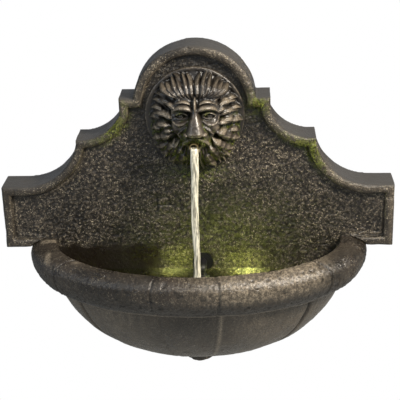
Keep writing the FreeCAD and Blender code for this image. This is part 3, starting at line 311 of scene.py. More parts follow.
def smooth(value, low, high):
    share = np.clip((value - low) / (high - low), 0, 1)
    return share * share * (3 - 2 * share)


def bell(offset, width):
    """1 where the offset is 0, falling away over the width."""
    return np.exp(-(offset / width) ** 2)


def patch(points, x, z, half_x, half_z):
    """A soft round patch, seen from the front."""
    return bell(points[:, 0] - x, half_x) * bell(points[:, 2] - z, half_z)


def link(obj):
    bpy.context.scene.collection.objects.link(obj)
    return obj


def recast(name, node, voxel):
    """A new piece with a CAD node's shape on an even grid, and its points and normals."""
    rough = frame["nodes"][node].data.copy()
    shell = bmesh.new()
    shell.from_mesh(rough)
    bmesh.ops.remove_doubles(shell, verts=shell.verts, dist=1e-6)
    shell.to_mesh(rough)
    shell.free()
    maker = link(bpy.data.objects.new(name + "_maker", rough))
    remesh = maker.modifiers.new("remesh", "REMESH")
    remesh.mode = "VOXEL"
    remesh.voxel_size = voxel
    graph = bpy.context.evaluated_depsgraph_get()
    data = bpy.data.meshes.new_from_object(maker.evaluated_get(graph))
    bpy.data.objects.remove(maker)
    data.name = name
    obj = link(bpy.data.objects.new(name, data))
    data.materials.clear()
    points = np.zeros(len(data.vertices) * 3)
    data.vertices.foreach_get("co", points)
    normals = np.zeros(len(data.vertices) * 3)
    data.vertex_normals.foreach_get("vector", normals)
    return obj, points.reshape(-1, 3), normals.reshape(-1, 3)


def settle(obj, points, material, **notes):
    """Gives the piece its final points, its material and the marks that the patina, painted shade and
    painted highlights read.
    """
    data = obj.data
    data.vertices.foreach_set("co", np.asarray(points, np.float32).ravel())
    for name in ("worn", "deep", "ledge", "wet", "moss"):
        values = np.clip(notes.get(name, np.zeros(len(points))), 0, 1)
        mark = data.attributes.new(name, "FLOAT", "POINT")
        mark.data.foreach_set("value", values.astype(np.float32))
    data.materials.append(material)
    data.shade_smooth()
    data.update()


# Half of the panel's outline, in metres above its bottom edge, from the wing round two
# coves to the arch. The border stops at BORDER_END, where the bowl's rim covers it. Its
# crest, inner lip, groove and bead lie this far in from the outline.
CREST_IN, LIP_IN, GROOVE_IN, BEAD_IN = 0.0065, 0.0165, 0.0185, 0.0225
BOTTOM_Z, BORDER_END = -0.140, 0.322
WING_X, WING_TOP = 0.375, 0.125
LOWER_COVE = (0.3315, 0.233, 0.108)
SHOULDER = ((0.226, 0.2195), (0.218, 0.2195))
UPPER_COVE = (0.218, 0.3055, 0.086)
NECK_X, NECK_TOP = 0.1405, 0.2985
ARCH = (0, 0.282, 0.115)


def arc(centre_x, centre_z, radius, first_deg, last_deg):
    count = max(2, int(abs(last_deg - first_deg) / 6))
    turns = np.radians(np.linspace(first_deg, last_deg, count))
    return np.stack([centre_x + radius * np.cos(turns), centre_z + radius * np.sin(turns)], axis=1)


def cove(centre_x, centre_z, radius, end_x):
    """A hollow quarter from straight below its centre in to end_x."""
    return arc(centre_x, centre_z, radius, 270, 180 + math.degrees(math.acos((centre_x - end_x) / radius)))


def panel_edge():
    """The panel's front outline as points, right side from the bottom up, then mirrored."""
    neck_turn = math.degrees(math.asin((NECK_TOP - ARCH[1]) / ARCH[2]))
    wing = ((BORDER_END, 0), (WING_X, 0), (WING_X, WING_TOP), (LOWER_COVE[0], WING_TOP))
    half = np.concatenate([wing, cove(*LOWER_COVE, SHOULDER[0][0]), SHOULDER,
                           cove(*UPPER_COVE, NECK_X), [(NECK_X, NECK_TOP)], arc(*ARCH, neck_turn, 90)])
    half = half + (0, BOTTOM_Z)
    return np.concatenate([half, half[::-1] * (-1, 1)])


def edge_distance(points):
    """How far each point is inside the panel's outline, seen from the front."""
    line = panel_edge()
    flat = points[:, (0, 2)]
    best = np.full(len(flat), 9.0)
    for start, end in zip(line, line[1:]):
        along = end - start
        length = along @ along
        if length < 1e-12:
            continue
        share = np.clip((flat - start) @ along / length, 0, 1)
        best = np.minimum(best, np.linalg.norm(flat - start - share[:, None] * along, axis=1))
    return best


# How high the stucco's two sizes of grain, the bead and the rest of the carving stand, how
# deep it cuts, where the crack runs and how far up the face is splashed
GRAIN_SIZE, SMALL_SIZE, GRAIN_HIGH, SWELL_HIGH = 0.0046, 0.0031, 0.0014, 0.0022
SKIN_HIGH, CHIP_DEEP, BEAD_HIGH, GROOVE_DEEP, CRACK_DEEP = 0.0009, 0.0012, 0.0016, 0.0012, 0.0022
CRACK_X, CRACK_Z, CRACK_HALF, SPLASH_Z = -0.0772, -0.0565, 0.0016, -0.132

panel_cast = cast_resin("panel_cast", grain=1.0, warmth=0.25, gloss=0.02, bump=1.0, bump_deep=0.0018,
                        shine=0.55, glow=1.0)
panel, points, normals = recast("panel_casting", "back_panel", voxel=0.0018)
across, height = points[:, 0], points[:, 2]
inside = edge_distance(points)
front = smooth(-normals[:, 1], 0.3, 0.8) * smooth(-points[:, 1], 0.045, 0.055)
face = front * smooth(inside, 0.0195, 0.023) * (height > -0.36)
bead = bell(inside - BEAD_IN, 0.0022) * front * smooth(np.abs(across), 0.19, 0.23)
groove = bell(inside - GROOVE_IN, 0.0016) * front
grains = pebbles(points, GRAIN_SIZE, 11)
small = pebbles(points, SMALL_SIZE, 23)
swell = lumps(points, 0.035, 5) - 0.5
chips = smooth(lumps(points, 0.010, 31), 0.72, 0.86)

# The crack left of the jet: an upright stroke and a level one from its middle
upright_stroke = (bell(across - CRACK_X + 0.003 * (lumps(points, 0.012, 77) - 0.5), CRACK_HALF)
                  * smooth(height, -0.080, -0.074) * smooth(-height, 0.032, 0.038))
level_stroke = (bell(height - CRACK_Z, CRACK_HALF)
                * smooth(across, -0.080, -0.076) * smooth(-across, 0.042, 0.047))
crack = (upright_stroke + level_stroke) * front

# Below the splash line the face is wet, and dark and smooth at the left
wet = face * smooth(-height + 0.012 * (lumps(points, 0.02, 9) - 0.5), -SPLASH_Z, 0.150)
dark_left = wet * smooth(-across, 0.070, 0.085)
dry = 1 - 0.8 * dark_left
move = face * ((grains - 0.3) * GRAIN_HIGH + (small - 0.3) * GRAIN_HIGH) * dry + swell * SWELL_HIGH
move += (1 - face) * ((lumps(points, 0.012, 3) - 0.6) * SKIN_HIGH - chips * front * CHIP_DEEP)
move += bead * BEAD_HIGH - groove * GROOVE_DEEP - crack * CRACK_DEEP
move = np.where(move > 0, move * smooth(inside, 0.0, 0.003), move)
points = points + normals * move[:, None]
points[:, 1] = np.minimum(points[:, 1], 0)

across, height = points[:, 0], points[:, 2]
# Wear and painted highlights on the border's ridges and bead, and painted glints on the grain tops
ridge = bell(inside - CREST_IN, 0.004) * 0.26 + bead * 0.5 + bell(inside - LIP_IN, 0.0018) * 0.6
worn = front * ridge * smooth(lumps(points, 0.05, 41), 0.25, 0.75)
worn += face * smooth(grains + small, 0.75, 1.25) * 0.35 * dry
moss = patch(points, 0.117, 0.146, 0.020, 0.022)
moss += patch(points, 0.205, 0.05, 0.05, 0.045) * smooth(-inside, -0.030, -0.021)
moss += patch(points, -0.160, 0.115, 0.035, 0.045) * smooth(-inside, -0.032, -0.022)
moss += patch(points, 0.04, -0.120, 0.13, 0.075) * face * 0.5
moss += patch(points, 0, 0.012, 0.05, 0.020) * face * 0.8
moss = np.clip(moss, 0, 1) * front
# Painted shade round the lion mask, in the crack and the groove and between the grains
shade_round_mask = smooth(-np.hypot(across, height - 0.124), -0.125, -0.100) * smooth(height, 0.06, 0.12)
deep = crack + groove * 0.5 + face * (smooth(-grains, -0.12, 0.0) + 0.75 * shade_round_mask)
settle(panel, points, panel_cast, worn=worn, deep=deep, moss=moss, wet=dark_left + wet * 0.25,
       ledge=smooth(-inside, -0.004, 0.0) * (height > -0.13))
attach(panel, "fountain")
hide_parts("back_panel")


# The basin: a half bowl of the same resin, bolted to the panel's face. It has a fat rolled
# rim, a thin ring under it and creases where its lobes meet.
CREASES = np.radians((39.5, 82, 104, 144))
RING_Z, RIM_X, RIM_Y, FOOT_Z = -0.199, 0.3245, -0.2730, -0.366
BOWL_BACK_Y, BOWL_SHARE = -0.061, 0.655
SEAM_HALF, SEAM_DEEP, RING_HIGH, RING_GROOVE_DEEP, PIT_DEEP = 0.0022, 0.0036, 0.0020, 0.0018, 0.0012
TAN_LINE_TURN = math.radians(80)

basin_cast = cast_resin("basin_cast", grain=0.40, warmth=0.35, gloss=0.17, bump=1.0, bump_deep=0.0015,
                        shine=0.6)
basin, points, normals = recast("basin_casting", "basin", voxel=0.0019)
across, height = points[:, 0], points[:, 2]
from_back = points[:, 1] - BOWL_BACK_Y
turn = np.arctan2(-from_back / BOWL_SHARE, across)
reach = np.hypot(across, from_back / BOWL_SHARE)
to_crease = np.min(np.abs(turn[:, None] - CREASES[None, :]), axis=1) * reach
outward = (normals[:, 0] * across + normals[:, 1] * from_back / BOWL_SHARE) / np.maximum(reach, 0.001)
outside = smooth(outward, 0.05, 0.25)
top = smooth(normals[:, 2], 0.5, 0.9) * smooth(height, -0.16, -0.14)
shown = np.clip(outside + top, 0, 1)
above_ring = smooth(height, RING_Z, RING_Z + 0.006)
roll, lower = shown * above_ring, outside * (1 - above_ring)
wander = 0.002 * (lumps(points, 0.03, 13) - 0.5)
lobed = smooth(np.abs(np.cos(turn)), 0.3, 0.7)
seam = bell(to_crease + wander, SEAM_HALF + SEAM_HALF * lower * lobed) * shown
seam *= 0.6 + 0.4 * lobed - 0.4 * lower * (1 - lobed)
ring = bell(height - RING_Z - 0.001, 0.0022) * outside
ring_groove = bell(height - RING_Z - 0.0065, 0.0030) * outside
bark = lumps(points, (0.0042, 0.0042, 0.0075), 7) * 0.5
bark += lumps(points, (0.0024, 0.0024, 0.0032), 8) * 0.5
swell = lumps(points, 0.045, 5) - 0.5
pits = smooth(lumps(points, 0.007, 19), 0.74, 0.86) * roll
rough_low = roll * smooth(-height, 0.140, 0.165)
# Painted shade in the creases, grooves and pits and on the roll's lower half, and a darker patch low on the
# bowl
dark_patch = 0.7 * lower * patch(points, -0.024, -0.228, 0.026, 0.022)
shade = 0.75 * roll * smooth(-height, 0.156, 0.180)

move = roll * (bark - 0.55) * (0.0012 + 0.0016 * rough_low)
move += lower * (lumps(points, (0.006, 0.006, 0.05), 21) - 0.55) * 0.0010
move += swell * SWELL_HIGH * shown - seam * (SEAM_DEEP + 0.0024 * lower)
move += ring * RING_HIGH - ring_groove * RING_GROOVE_DEEP - pits * PIT_DEEP
move += (1 - shown) * (lumps(points, 0.008, 3) - 0.6) * 0.0006
# Nothing stands out past the rim's widest places, behind the bowl or below its foot
edge = (np.abs(across) > RIM_X) | (points[:, 1] < RIM_Y) | (points[:, 1] > BOWL_BACK_Y - 0.001)
points = points + normals * np.where(edge, np.minimum(move, 0), move)[:, None]
points[:, 2] = np.maximum(points[:, 2], FOOT_Z)

across, height = points[:, 0], points[:, 2]
# Painted sheen on the upper rim at the front right, where the key light reflects, with wear and painted
# highlights on the ring, the lower bowl, beside a crease and at the top's left end
painted_sheen = smooth(across, -0.06, 0.09) * smooth(-across, -0.27, -0.20) * smooth(height, -0.185, -0.150)
streaks = 0.20 + 0.24 * lumps(points, (0.010, 0.010, 0.07), 33)
worn = ring * 0.9 + roll * painted_sheen * (0.30 + 0.55 * smooth(bark, 0.40, 0.66))
worn += lower * (0.25 + 0.75 * smooth(np.abs(across + 0.01), 0.03, 0.14)) * streaks
worn += 0.6 * lower * bell((turn - TAN_LINE_TURN) * reach, 0.0035)
worn += 0.7 * top * smooth(lumps(points, 0.02, 51), 0.55, 0.8) * smooth(-across, 0.19, 0.24)
settle(basin, points, basin_cast, worn=worn,
       deep=seam + ring_groove * 0.6 + pits * 0.6 + dark_patch + shade,
       wet=(1 - shown) * smooth(-height, 0.150, 0.19) * 0.8,
       moss=(1 - shown) * 0.5 * smooth(-height, 0.165, 0.195))
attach(basin, "fountain")
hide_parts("basin")


# The lion mask: one resin casting screwed to the panel round the spout. It is carved here
# as heights over the panel's face, in millimetres: the plate, a mane of overlapping locks,
# the face, the open mouth and the beard.
MASK_Z, MASK_STEP, FACE_X = 124.0, 0.8, 3.0
PLATE_R, PLATE_EDGE_R, EYE_X, EYE_Z = 92.5, 88.5, 26, 137
SPOUT_Z, SPOUT_HOLE_R, HIGHEST = 82, 8.6, 81.5
across, upward = np.meshgrid(np.arange(-97, 97.1, MASK_STEP), np.arange(12, 222.1, MASK_STEP))
chance = np.random.RandomState(8)


def melt(first, second, soft):
    """The higher of two surfaces, with a soft join."""
    share = np.clip(0.5 + 0.5 * (first - second) / soft, 0, 1)
    return second * (1 - share) + first * share + soft * share * (1 - share)


def mound(x, z, half_x, half_z, high, base=0.0, lean_deg=0.0):
    """Part of an ellipsoid standing on base."""
    c, s = math.cos(math.radians(lean_deg)), math.sin(math.radians(lean_deg))
    u, v = across - x, upward - z
    q = ((u * c + v * s) / half_x) ** 2 + ((v * c - u * s) / half_z) ** 2
    return np.where(q < 1, base + (high - base) * np.sqrt(np.clip(1 - q, 0, 1)), -9.0)


def spot(x, z, half_x, half_z, lean_deg=0.0):
    c, s = math.cos(math.radians(lean_deg)), math.sin(math.radians(lean_deg))
    u, v = across - x, upward - z
    return np.exp(-(((u * c + v * s) / half_x) ** 2 + ((v * c - u * s) / half_z) ** 2))


def bezier(stops, count=22):
    t = np.linspace(0, 1, count)[:, None]
    a, b, c, d = (np.array(p, float) for p in stops)
    return (1 - t) ** 3 * a + 3 * (1 - t) ** 2 * t * b + 3 * (1 - t) * t ** 2 * c + t ** 3 * d


def along(path):
    """For every grid point near a path: its offset to one side and its share of the way."""
    margin = 16
    low, high = path.min(0) - margin, path.max(0) + margin
    rows = np.where((upward[:, 0] > low[1]) & (upward[:, 0] < high[1]))[0]
    columns = np.where((across[0] > low[0]) & (across[0] < high[0]))[0]
    window = np.ix_(rows, columns)
    p = np.stack([across[window], upward[window]], axis=-1)
    best = np.full(p.shape[:2], 1e9)
    side, share = np.zeros_like(best), np.zeros_like(best)
    pieces = len(path) - 1
    for k in range(pieces):
        step = path[k + 1] - path[k]
        t = np.clip(((p - path[k]) @ step) / (step @ step), 0, 1)
        off = p - path[k] - t[..., None] * step
        distance = np.linalg.norm(off, axis=-1)
        hit = distance < best
        best = np.where(hit, distance, best)
        side = np.where(hit, distance * np.sign(step[0] * off[..., 1] - step[1] * off[..., 0]), side)
        share = np.where(hit, (k + t) / pieces, share)
    return window, side, share


def strand(heights, stops, wide, crests, round_off=7.0, grooves=0.0, blunt=0.0, soft=0.8):
    """Lays a tapering curved lock over the heights; blunt moves its widest place outwards."""
    window, side, share = along(bezier(stops))
    swell = np.sin(np.pi * np.clip(0.12 + share ** (1 + blunt) * 0.88, 0, 1)) ** 0.6
    half = np.maximum(wide * swell, 0.35)
    q = side / half
    crest = np.interp(share, np.linspace(0, 1, len(crests)), crests)
    lock = crest - round_off * np.abs(q) ** 1.6 + grooves * np.cos(3.6 * np.pi * q) * (1 - share ** 3)
    lock = np.where(np.abs(q) < 1.08, lock, -9.0)
    heights[window] = melt(lock, heights[window], soft)


plate_r = np.hypot(across, upward - MASK_Z)
plate_high = 2.6 + 2.0 * smooth(upward - MASK_Z, 20, 75)
relief = np.where(plate_r < PLATE_R, plate_high, -3.0)
ridge = np.clip(1 - ((plate_r - PLATE_EDGE_R) / 4.5) ** 2, 0, 1) * smooth(upward - MASK_Z, 10, 70)
relief = np.maximum(relief, np.where(ridge > 0, plate_high + 2.2 * np.sqrt(ridge), -9))
relief = np.maximum(relief, mound(1, 118, 80, 92, 24, 2))

# How far a lock leans up as it leaves the face, and down at its tip, by its place round
# the head, in degrees
LOCK_TURNS = (-80, -35, -5, 30, 75)
LEAN_IN = (-20, -22, 18, 52, 40)
LEAN_OUT = (-14, -22, 22, 50, 34)


def mane_lock(side, turn_deg, first, last, wide, crests, grooves, blunt):
    """A curved lock between two rings round the face."""
    turn = math.radians(turn_deg)
    out = np.array([math.cos(turn), math.sin(turn)])
    inner, outer = out * (40, 50) + (0, 120), out * (84, 96) + (0, 117)
    start, end = inner + (outer - inner) * first, inner + (outer - inner) * last
    reach = np.linalg.norm(end - start)
    begin = turn + math.radians(np.interp(turn_deg, LOCK_TURNS, LEAN_IN))
    finish = turn - math.radians(np.interp(turn_deg, LOCK_TURNS, LEAN_OUT))
    one = start + reach * 0.48 * np.array([math.cos(begin), math.sin(begin)])
    two = end - reach * 0.46 * np.array([math.cos(finish), math.sin(finish)])
    stops = [(1.5 + side * p[0], p[1]) for p in (start, one, two, end)]
    strand(relief, stops, wide, crests, 8.5, grooves, blunt)


# Outer locks lie low against the plate and inner locks rise over them; those beside the
# chin are broad and pointed like leaves
for count, first, last, wide, crests in (
        (13, 0.40, 1.08, 6.0, (25, 28, 22, 6)),
        (10, 0.05, 0.92, 6.6, (38, 42, 34, 13)),
        (7, -0.04, 0.58, 6.0, (44, 49, 44, 27))):
    for side in (-1, 1):
        for k in range(count):
            turn = 66 - (k + chance.uniform(-0.35, 0.35)) * 142 / count
            low = min(max((-turn + 4) / 30, 0), 1)
            lift = chance.uniform(-1.5, 2.0)
            stop = last * chance.uniform(0.94, 1.03)
            girth = wide * (1 + 0.35 * low) * chance.uniform(0.85, 1.15)
            mane_lock(side, turn, first, stop, girth, [crest + lift for crest in crests],
                      1.4 - 0.9 * low, 0.3 + 0.4 * low)

# The parting over the forehead: long locks that leave sideways, climb and curl over
for side in (-1, 1):
    for k in range(5, -1, -1):
        foot, head = 1.5 + 4.2 * k, 7.0 + 9.0 * k + chance.uniform(-2, 2)
        tip = 209 - 0.9 * k ** 2.0 + chance.uniform(-4, 2)
        stops = [(2.5 + side * foot, 166 + 0.3 * k), (2.5 + side * (foot + 8 + 4.5 * k), 176 + 0.2 * k),
                 (1.5 + side * (head - 7 + 3 * k), 192 - 1.0 * k), (1.5 + side * (head + 6 + k), tip)]
        strand(relief, stops, 5.6, [47, 50, 43, 20], 9.0, 1.2, 0.3)

# The face: a long shield with a thin edge and two lobes at the hairline
widths = np.interp(upward, (58, 60, 66, 74, 82, 90, 100, 110, 122, 134, 146, 156, 164, 170, 176),
                   (-2, 3, 8, 15, 21, 28, 35, 40, 43, 44.5, 44, 41.5, 36, 27, 8))
middle = across - FACE_X
tops = 168.5 + 5.0 * bell(np.abs(middle) - 20, 12) - (np.abs(middle) / 47) ** 4 * 14
rim = np.minimum(widths - np.abs(middle), (tops - upward) * 1.1)
share = np.clip(rim / 30, 0, 1)
face_form = np.where(rim > 0, 38 + 17 * np.sqrt(1 - (1 - share) ** 2), -9)
face_form += np.where(rim > 0, 2.2 * bell(rim - 1.4, 1.1), 0)
relief = np.maximum(relief, face_form)

# The nose: a broad ridge that widens from the brow to a flat tip, with its wings
nose_half = np.interp(upward, (100, 106, 112, 124, 138, 150, 162), (15, 17, 16, 13, 10.5, 8.5, 6))
nose_top = np.interp(upward, (99, 101.5, 104, 110, 124, 138, 150, 162),
                     (40, 66, 77, 80.5, 74, 66, 60, 56))
nose = nose_top - 13 * np.abs(middle / nose_half) ** 3.2
nose = np.where((np.abs(middle) < nose_half * 1.35) & (upward > 98) & (upward < 162), nose, -9)
relief = melt(mound(FACE_X, 100, 31, 27, 62, 36), relief, 6)
relief = melt(nose, relief, 3.5)
for side in (-1, 1):
    relief = melt(mound(FACE_X + side * 16.5, 106, 6.5, 6.0, 73, 50), relief, 2.0)
    relief -= 6.0 * spot(FACE_X + side * 9.0, 100.5, 4.5, 1.8, side * 12)

for side in (-1, 1):
    # Cheekbone and the furrow from the nose's wing round the muzzle
    relief = melt(mound(FACE_X + side * 31, 118, 14, 19, 57, 30, side * 14), relief, 6)
    furrow = [(FACE_X + side * x, z) for x, z in ((13, 122), (24, 116), (30, 102), (24, 82))]
    window, off, share = along(bezier(furrow))
    relief[window] -= 4.2 * bell(off, 2.4) * np.sin(np.pi * np.clip(share * 0.9 + 0.1, 0, 1))

    # The eye socket and the ball with its pupil
    relief -= 11.5 * spot(FACE_X + side * 24, 139, 12.5, 8.0, -side * 6)
    relief -= 5.5 * spot(FACE_X + side * 11.5, 141, 4.5, 7.5)
    relief = melt(mound(FACE_X + side * EYE_X, EYE_Z, 7.4, 5.6, 52.5, 38), relief, 0.8)
    relief -= 1.8 * spot(FACE_X + side * EYE_X, EYE_Z, 1.8, 1.8)

    # The two lids, the bag below and its fold, the brow and the tuft over it
    for path, wide, crests, round_off in (
            (((13, 138), (19, 145), (31, 146), (38, 137)), 1.7, (54, 55.5, 55, 51), 3),
            (((13, 137), (19, 131), (31, 130), (38, 136)), 1.5, (53, 54, 53, 50), 3),
            (((14, 129), (21, 121), (33, 118), (42, 127)), 4.4, (57, 60, 59, 50), 4),
            (((12, 121), (18, 117), (27, 111), (33, 102)), 4.0, (59, 61, 59, 53), 4),
            (((5, 148), (13, 156), (29, 158), (41, 146)), 4.8, (62, 64.5, 62, 52), 4.5),
            (((9, 160), (16, 166), (27, 166), (37, 158)), 2.6, (58, 59, 56.5, 50), 2.5)):
        stops = [(FACE_X + side * x, z) for x, z in path]
        strand(relief, stops, wide, crests, round_off, soft=2.0)

# A sharp fold down the middle of the forehead, between two hollows
fold = [(FACE_X, 171), (FACE_X - 1, 164), (FACE_X + 0.5, 156), (FACE_X, 146)]
strand(relief, fold, 2.2, [60, 66, 68, 65], 4, soft=1)
for side in (-1, 1):
    relief -= 4.0 * spot(FACE_X + side * 5.4, 158, 1.7, 8)

# The open mouth round the spout: drooping lips, the lower lip and the chin
for side in (-1, 1):
    for k in range(4):
        lip = ((2 + 3 * k, 99 - k), (8 + 3.5 * k, 99 - 2 * k),
               (15 + 3 * k, 94 - 3 * k), (16 + 3 * k, 83 - 3.5 * k))
        stops = [(FACE_X + side * x, z) for x, z in lip]
        strand(relief, stops, 3.4, [68 - 2 * k, 69 - 3 * k, 64 - 3 * k, 52 - 3 * k], 5, 0.3)
mouth = ((across - 1.0) / 14) ** 2 + ((upward - 83) / 8.0) ** 2
relief = np.where(mouth < 1, np.minimum(relief, 64 - 28 * np.sqrt(np.clip(1 - mouth, 0, 1))), relief)
relief = melt(mound(FACE_X - 1, 70, 12, 7, 58, 30), relief, 2)

# The beard's locks hang below the chin, the middle ones longest
for side in (-1, 1):
    for k in range(7, -1, -1):
        foot, head = 2.0 + 5.2 * k, 1.5 + 8.2 * k
        tip = 20 + 0.55 * k ** 1.9 + chance.uniform(-3, 4)
        stops = [(2 + side * foot, 70 + 2.6 * k), (2 + side * (foot + 2), 60 + 2.4 * k),
                 (2 + side * (head - 5), 46 + 2.2 * k), (2 + side * (head + 3), tip)]
        strand(relief, stops, 4.2, [50 - 1.2 * k, 47 - 1.2 * k, 34 - k, 10], 7, 0.8, 0.3)

# The spout's hole, a limit on how far anything stands out, and a fine roughness
from_spout = np.hypot(across, upward - SPOUT_Z)
relief = np.where(from_spout < SPOUT_HOLE_R, np.minimum(relief, -3.0), relief)
relief = np.minimum(relief, HIGHEST)
flat_points = np.stack([across.ravel(), relief.ravel() * 0, upward.ravel()], axis=1) / 1000
skin = ((lumps(flat_points, 0.004, 61) - 0.5) * 0.9).reshape(relief.shape)
relief = relief + np.where(relief > 0, skin, 0)


def blurred(values, width):
    """A box blur run three times, near enough a soft blur."""
    span = 2 * width + 1
    for _ in range(3):
        for axis in (0, 1):
            padded = [values.take([0] * (width + 1), axis), values, values.take([-1] * width, axis)]
            rolled = np.cumsum(np.concatenate(padded, axis), axis)
            last = rolled.shape[axis]
            values = (rolled.take(range(span, last), axis) - rolled.take(range(last - span), axis)) / span
    return values


proud = relief - blurred(relief, 5)
number = np.arange(relief.size).reshape(relief.shape)
corners = np.stack([number[:-1, :-1], number[:-1, 1:], number[1:, 1:], number[1:, :-1]], axis=-1)
corners = corners.reshape(-1, 4)
corners = corners[(relief.ravel()[corners] > -2.5).any(axis=1)]
used, corners_used = np.unique(corners, return_inverse=True)
points = np.stack([across.ravel(), FACE_Y * 1000 - relief.ravel(), upward.ravel()], axis=1) / 1000
points, proud = points[used], proud.ravel()[used]
data = bpy.data.meshes.new("lion_relief")
data.from_pydata(points.tolist(), [], corners_used.reshape(-1, 4).tolist())
mask = link(bpy.data.objects.new("lion_relief", data))
height = points[:, 2]
moss = patch(points, 0, 0.088, 0.022, 0.013) * 1.2
moss += smooth(-height, -0.085, -0.030) * smooth(-proud, -0.5, 2.0) * 0.9
moss += smooth(-height, -0.15, -0.10) * smooth(-proud, 0.5, 3.0) * 0.6
moss += bell(np.abs(points[:, 0]) - 0.026, 0.010) * bell(height - 0.143, 0.004) * 0.6
mask_cast = cast_resin("mask_cast", grain=0.05, warmth=0.35, gloss=0.11, bump=0.35, bump_deep=0.0006,
                       shine=0.8)
# Wear and painted highlights on the locks' crests, and painted shade in the hollows between them
settle(mask, points, mask_cast, worn=smooth(proud, 1.0, 4.5) * (0.75 - 0.45 * smooth(height, 0.165, 0.180)),
       deep=smooth(-proud, 0.2, 3.0), moss=moss)
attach(mask, "fountain")
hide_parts("lion_mask")


# Moss round the mouth, down the beard and in the panel's inner corners: short soft
# blades that have grown on the wet castings
MASK_TUFTS, PANEL_TUFTS = 2600, 2200

moss_group, place, given = new_group("moss_blades")
tone = noise(moss_group, place, 180, 3)
dying = ramp(moss_group, noise(moss_group, place, 60, 2), 0.5, 0.75)
colour = mix(moss_group, ramp(moss_group, tone, 0.3, 0.7), (0.045, 0.055, 0.008), (0.26, 0.30, 0.05))
colour = mix(moss_group, dying, colour, (0.16, 0.13, 0.05))
finish_group(moss_group, Color=colour, Roughness=ramp(moss_group, tone, 0.2, 0.8, 0.7, 0.95), Height=tone)
moss_green = shaded("moss_green", moss_group, {}, 0.2, 0.0003)


def tufts(name, roots, long, wide, seed):
    """One mesh of little bent blades, each standing off the front from its root."""
    sway = np.random.RandomState(seed)
    blades = bmesh.new()
    for root in roots:
        root = Vector(root)
        lean = Vector((0, -1, 0.1)) + Vector(sway.uniform(-0.9, 0.9, 3))
        tip = root + lean.normalized() * long * sway.uniform(0.5, 1.2)
        tip.z -= long * sway.uniform(0.1, 0.5)
        half = Vector(sway.uniform(-1, 1, 3)).cross(lean).normalized() * wide / 2
        bend = (root + tip) / 2 + Vector((0, 0, long * 0.12))
        ends = (root - half, root + half, bend - half * 0.8, bend + half * 0.8, tip)
        rows = [blades.verts.new(end) for end in ends]
        blades.faces.new((rows[0], rows[1], rows[3], rows[2]))
        blades.faces.new((rows[2], rows[3], rows[4]))
    data = bpy.data.meshes.new(name)
    blades.to_mesh(data)
    blades.free()
    data.materials.append(moss_green)
    return link(bpy.data.objects.new(name, data))


pick = np.random.RandomState(3)
weight = np.clip(moss - 0.35, 0, 1) ** 1.5
choice = pick.choice(len(points), MASK_TUFTS, p=weight / weight.sum())
mask_moss = tufts("mask_moss", points[choice], long=0.0036, wide=0.0013, seed=4)
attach(mask_moss, "fountain")

count = len(panel.data.vertices)
panel_points, panel_marks = np.zeros(count * 3), np.zeros(count)
panel.data.vertices.foreach_get("co", panel_points)
panel.data.attributes["moss"].data.foreach_get("value", panel_marks)
weight = np.clip(panel_marks - 0.45, 0, 1) ** 2
choice = pick.choice(count, PANEL_TUFTS, p=weight / weight.sum())
roots = panel_points.reshape(-1, 3)[choice]
corner_tufts = tufts("panel_moss", roots, long=0.0026, wide=0.0012, seed=5)
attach(corner_tufts, "fountain")


# The jet: a ribbed ribbon of falling water from the spout down to the bowl, thinning
# and twisting slightly as it falls
WATER_Z = -0.192
JET_TOP = Vector((0, -0.124, 0.081))
JET_FALL, JET_THROW = JET_TOP.z - WATER_Z, 0.020
JET_R_TOP, JET_R_LOW = 0.0074, 0.0060
ROWS, COLUMNS = 150, 40

water_group, place, given = new_group("falling_water", lit=True)
# Cream streaks of froth, and a faint glow that paints the light the falling water catches
streak = noise(water_group, place, 300, 3, 0.6, (1.0, 1.0, 0.10))
froth_and_glow = ramp(water_group, streak, 0.36, 0.62)
finish_group(water_group, Color=mix(water_group, froth_and_glow, (0.24, 0.23, 0.18), (0.80, 0.77, 0.62)),
             Roughness=ramp(water_group, streak, 0.2, 0.8, 0.1, 0.4), Height=streak,
             Emission_Color=mix(water_group, froth_and_glow, (0.05, 0.05, 0.035), (0.34, 0.32, 0.24)))
jet_water = shaded("jet_water", water_group, {}, 0.5, 0.001, Emission_Strength=0.30)


def sheet(name, x, y, z, corners, material):
    """A smooth surface through a grid of points, with the four corners of each face."""
    data = bpy.data.meshes.new(name)
    points = np.stack([x, y, z], axis=-1).reshape(-1, 3)
    data.from_pydata(points.tolist(), [], np.stack(corners, axis=-1).reshape(-1, 4).tolist())
    data.materials.append(material)
    data.shade_smooth()
    return link(bpy.data.objects.new(name, data))


share = np.linspace(0, 1, ROWS)[:, None]
turn = np.linspace(0, 2 * np.pi, COLUMNS, endpoint=False)[None, :]
radius = JET_R_TOP + (JET_R_LOW - JET_R_TOP) * share ** 0.5
ribs = 0.10 * np.sin(5 * turn + 2.2 * share) + 0.07 * np.sin(9 * turn - 4 * share)
ribs = ribs + 0.05 * np.sin(14 * turn + 9 * share)
waver = 0.10 * np.sin(2 * np.pi * share * 2.3 + 2 * turn) + 0.05 * np.sin(2 * np.pi * share * 7 + turn)
radius = radius * (1 + (ribs + waver) * (0.4 + 0.6 * share))
drift = 0.0010 * np.sin(2 * np.pi * share * 1.6)
x = drift + radius * np.cos(turn)
y = JET_TOP.y - JET_THROW * np.sqrt(share) + 0.8 * radius * np.sin(turn)
z = JET_TOP.z - JET_FALL * share + 0 * turn
number = np.arange(ROWS * COLUMNS).reshape(ROWS, COLUMNS)
beside = np.roll(number, -1, axis=1)
jet = sheet("water_jet", x, y, z, (number[:-1], beside[:-1], beside[1:], number[1:]), jet_water)
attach(jet, "fountain")


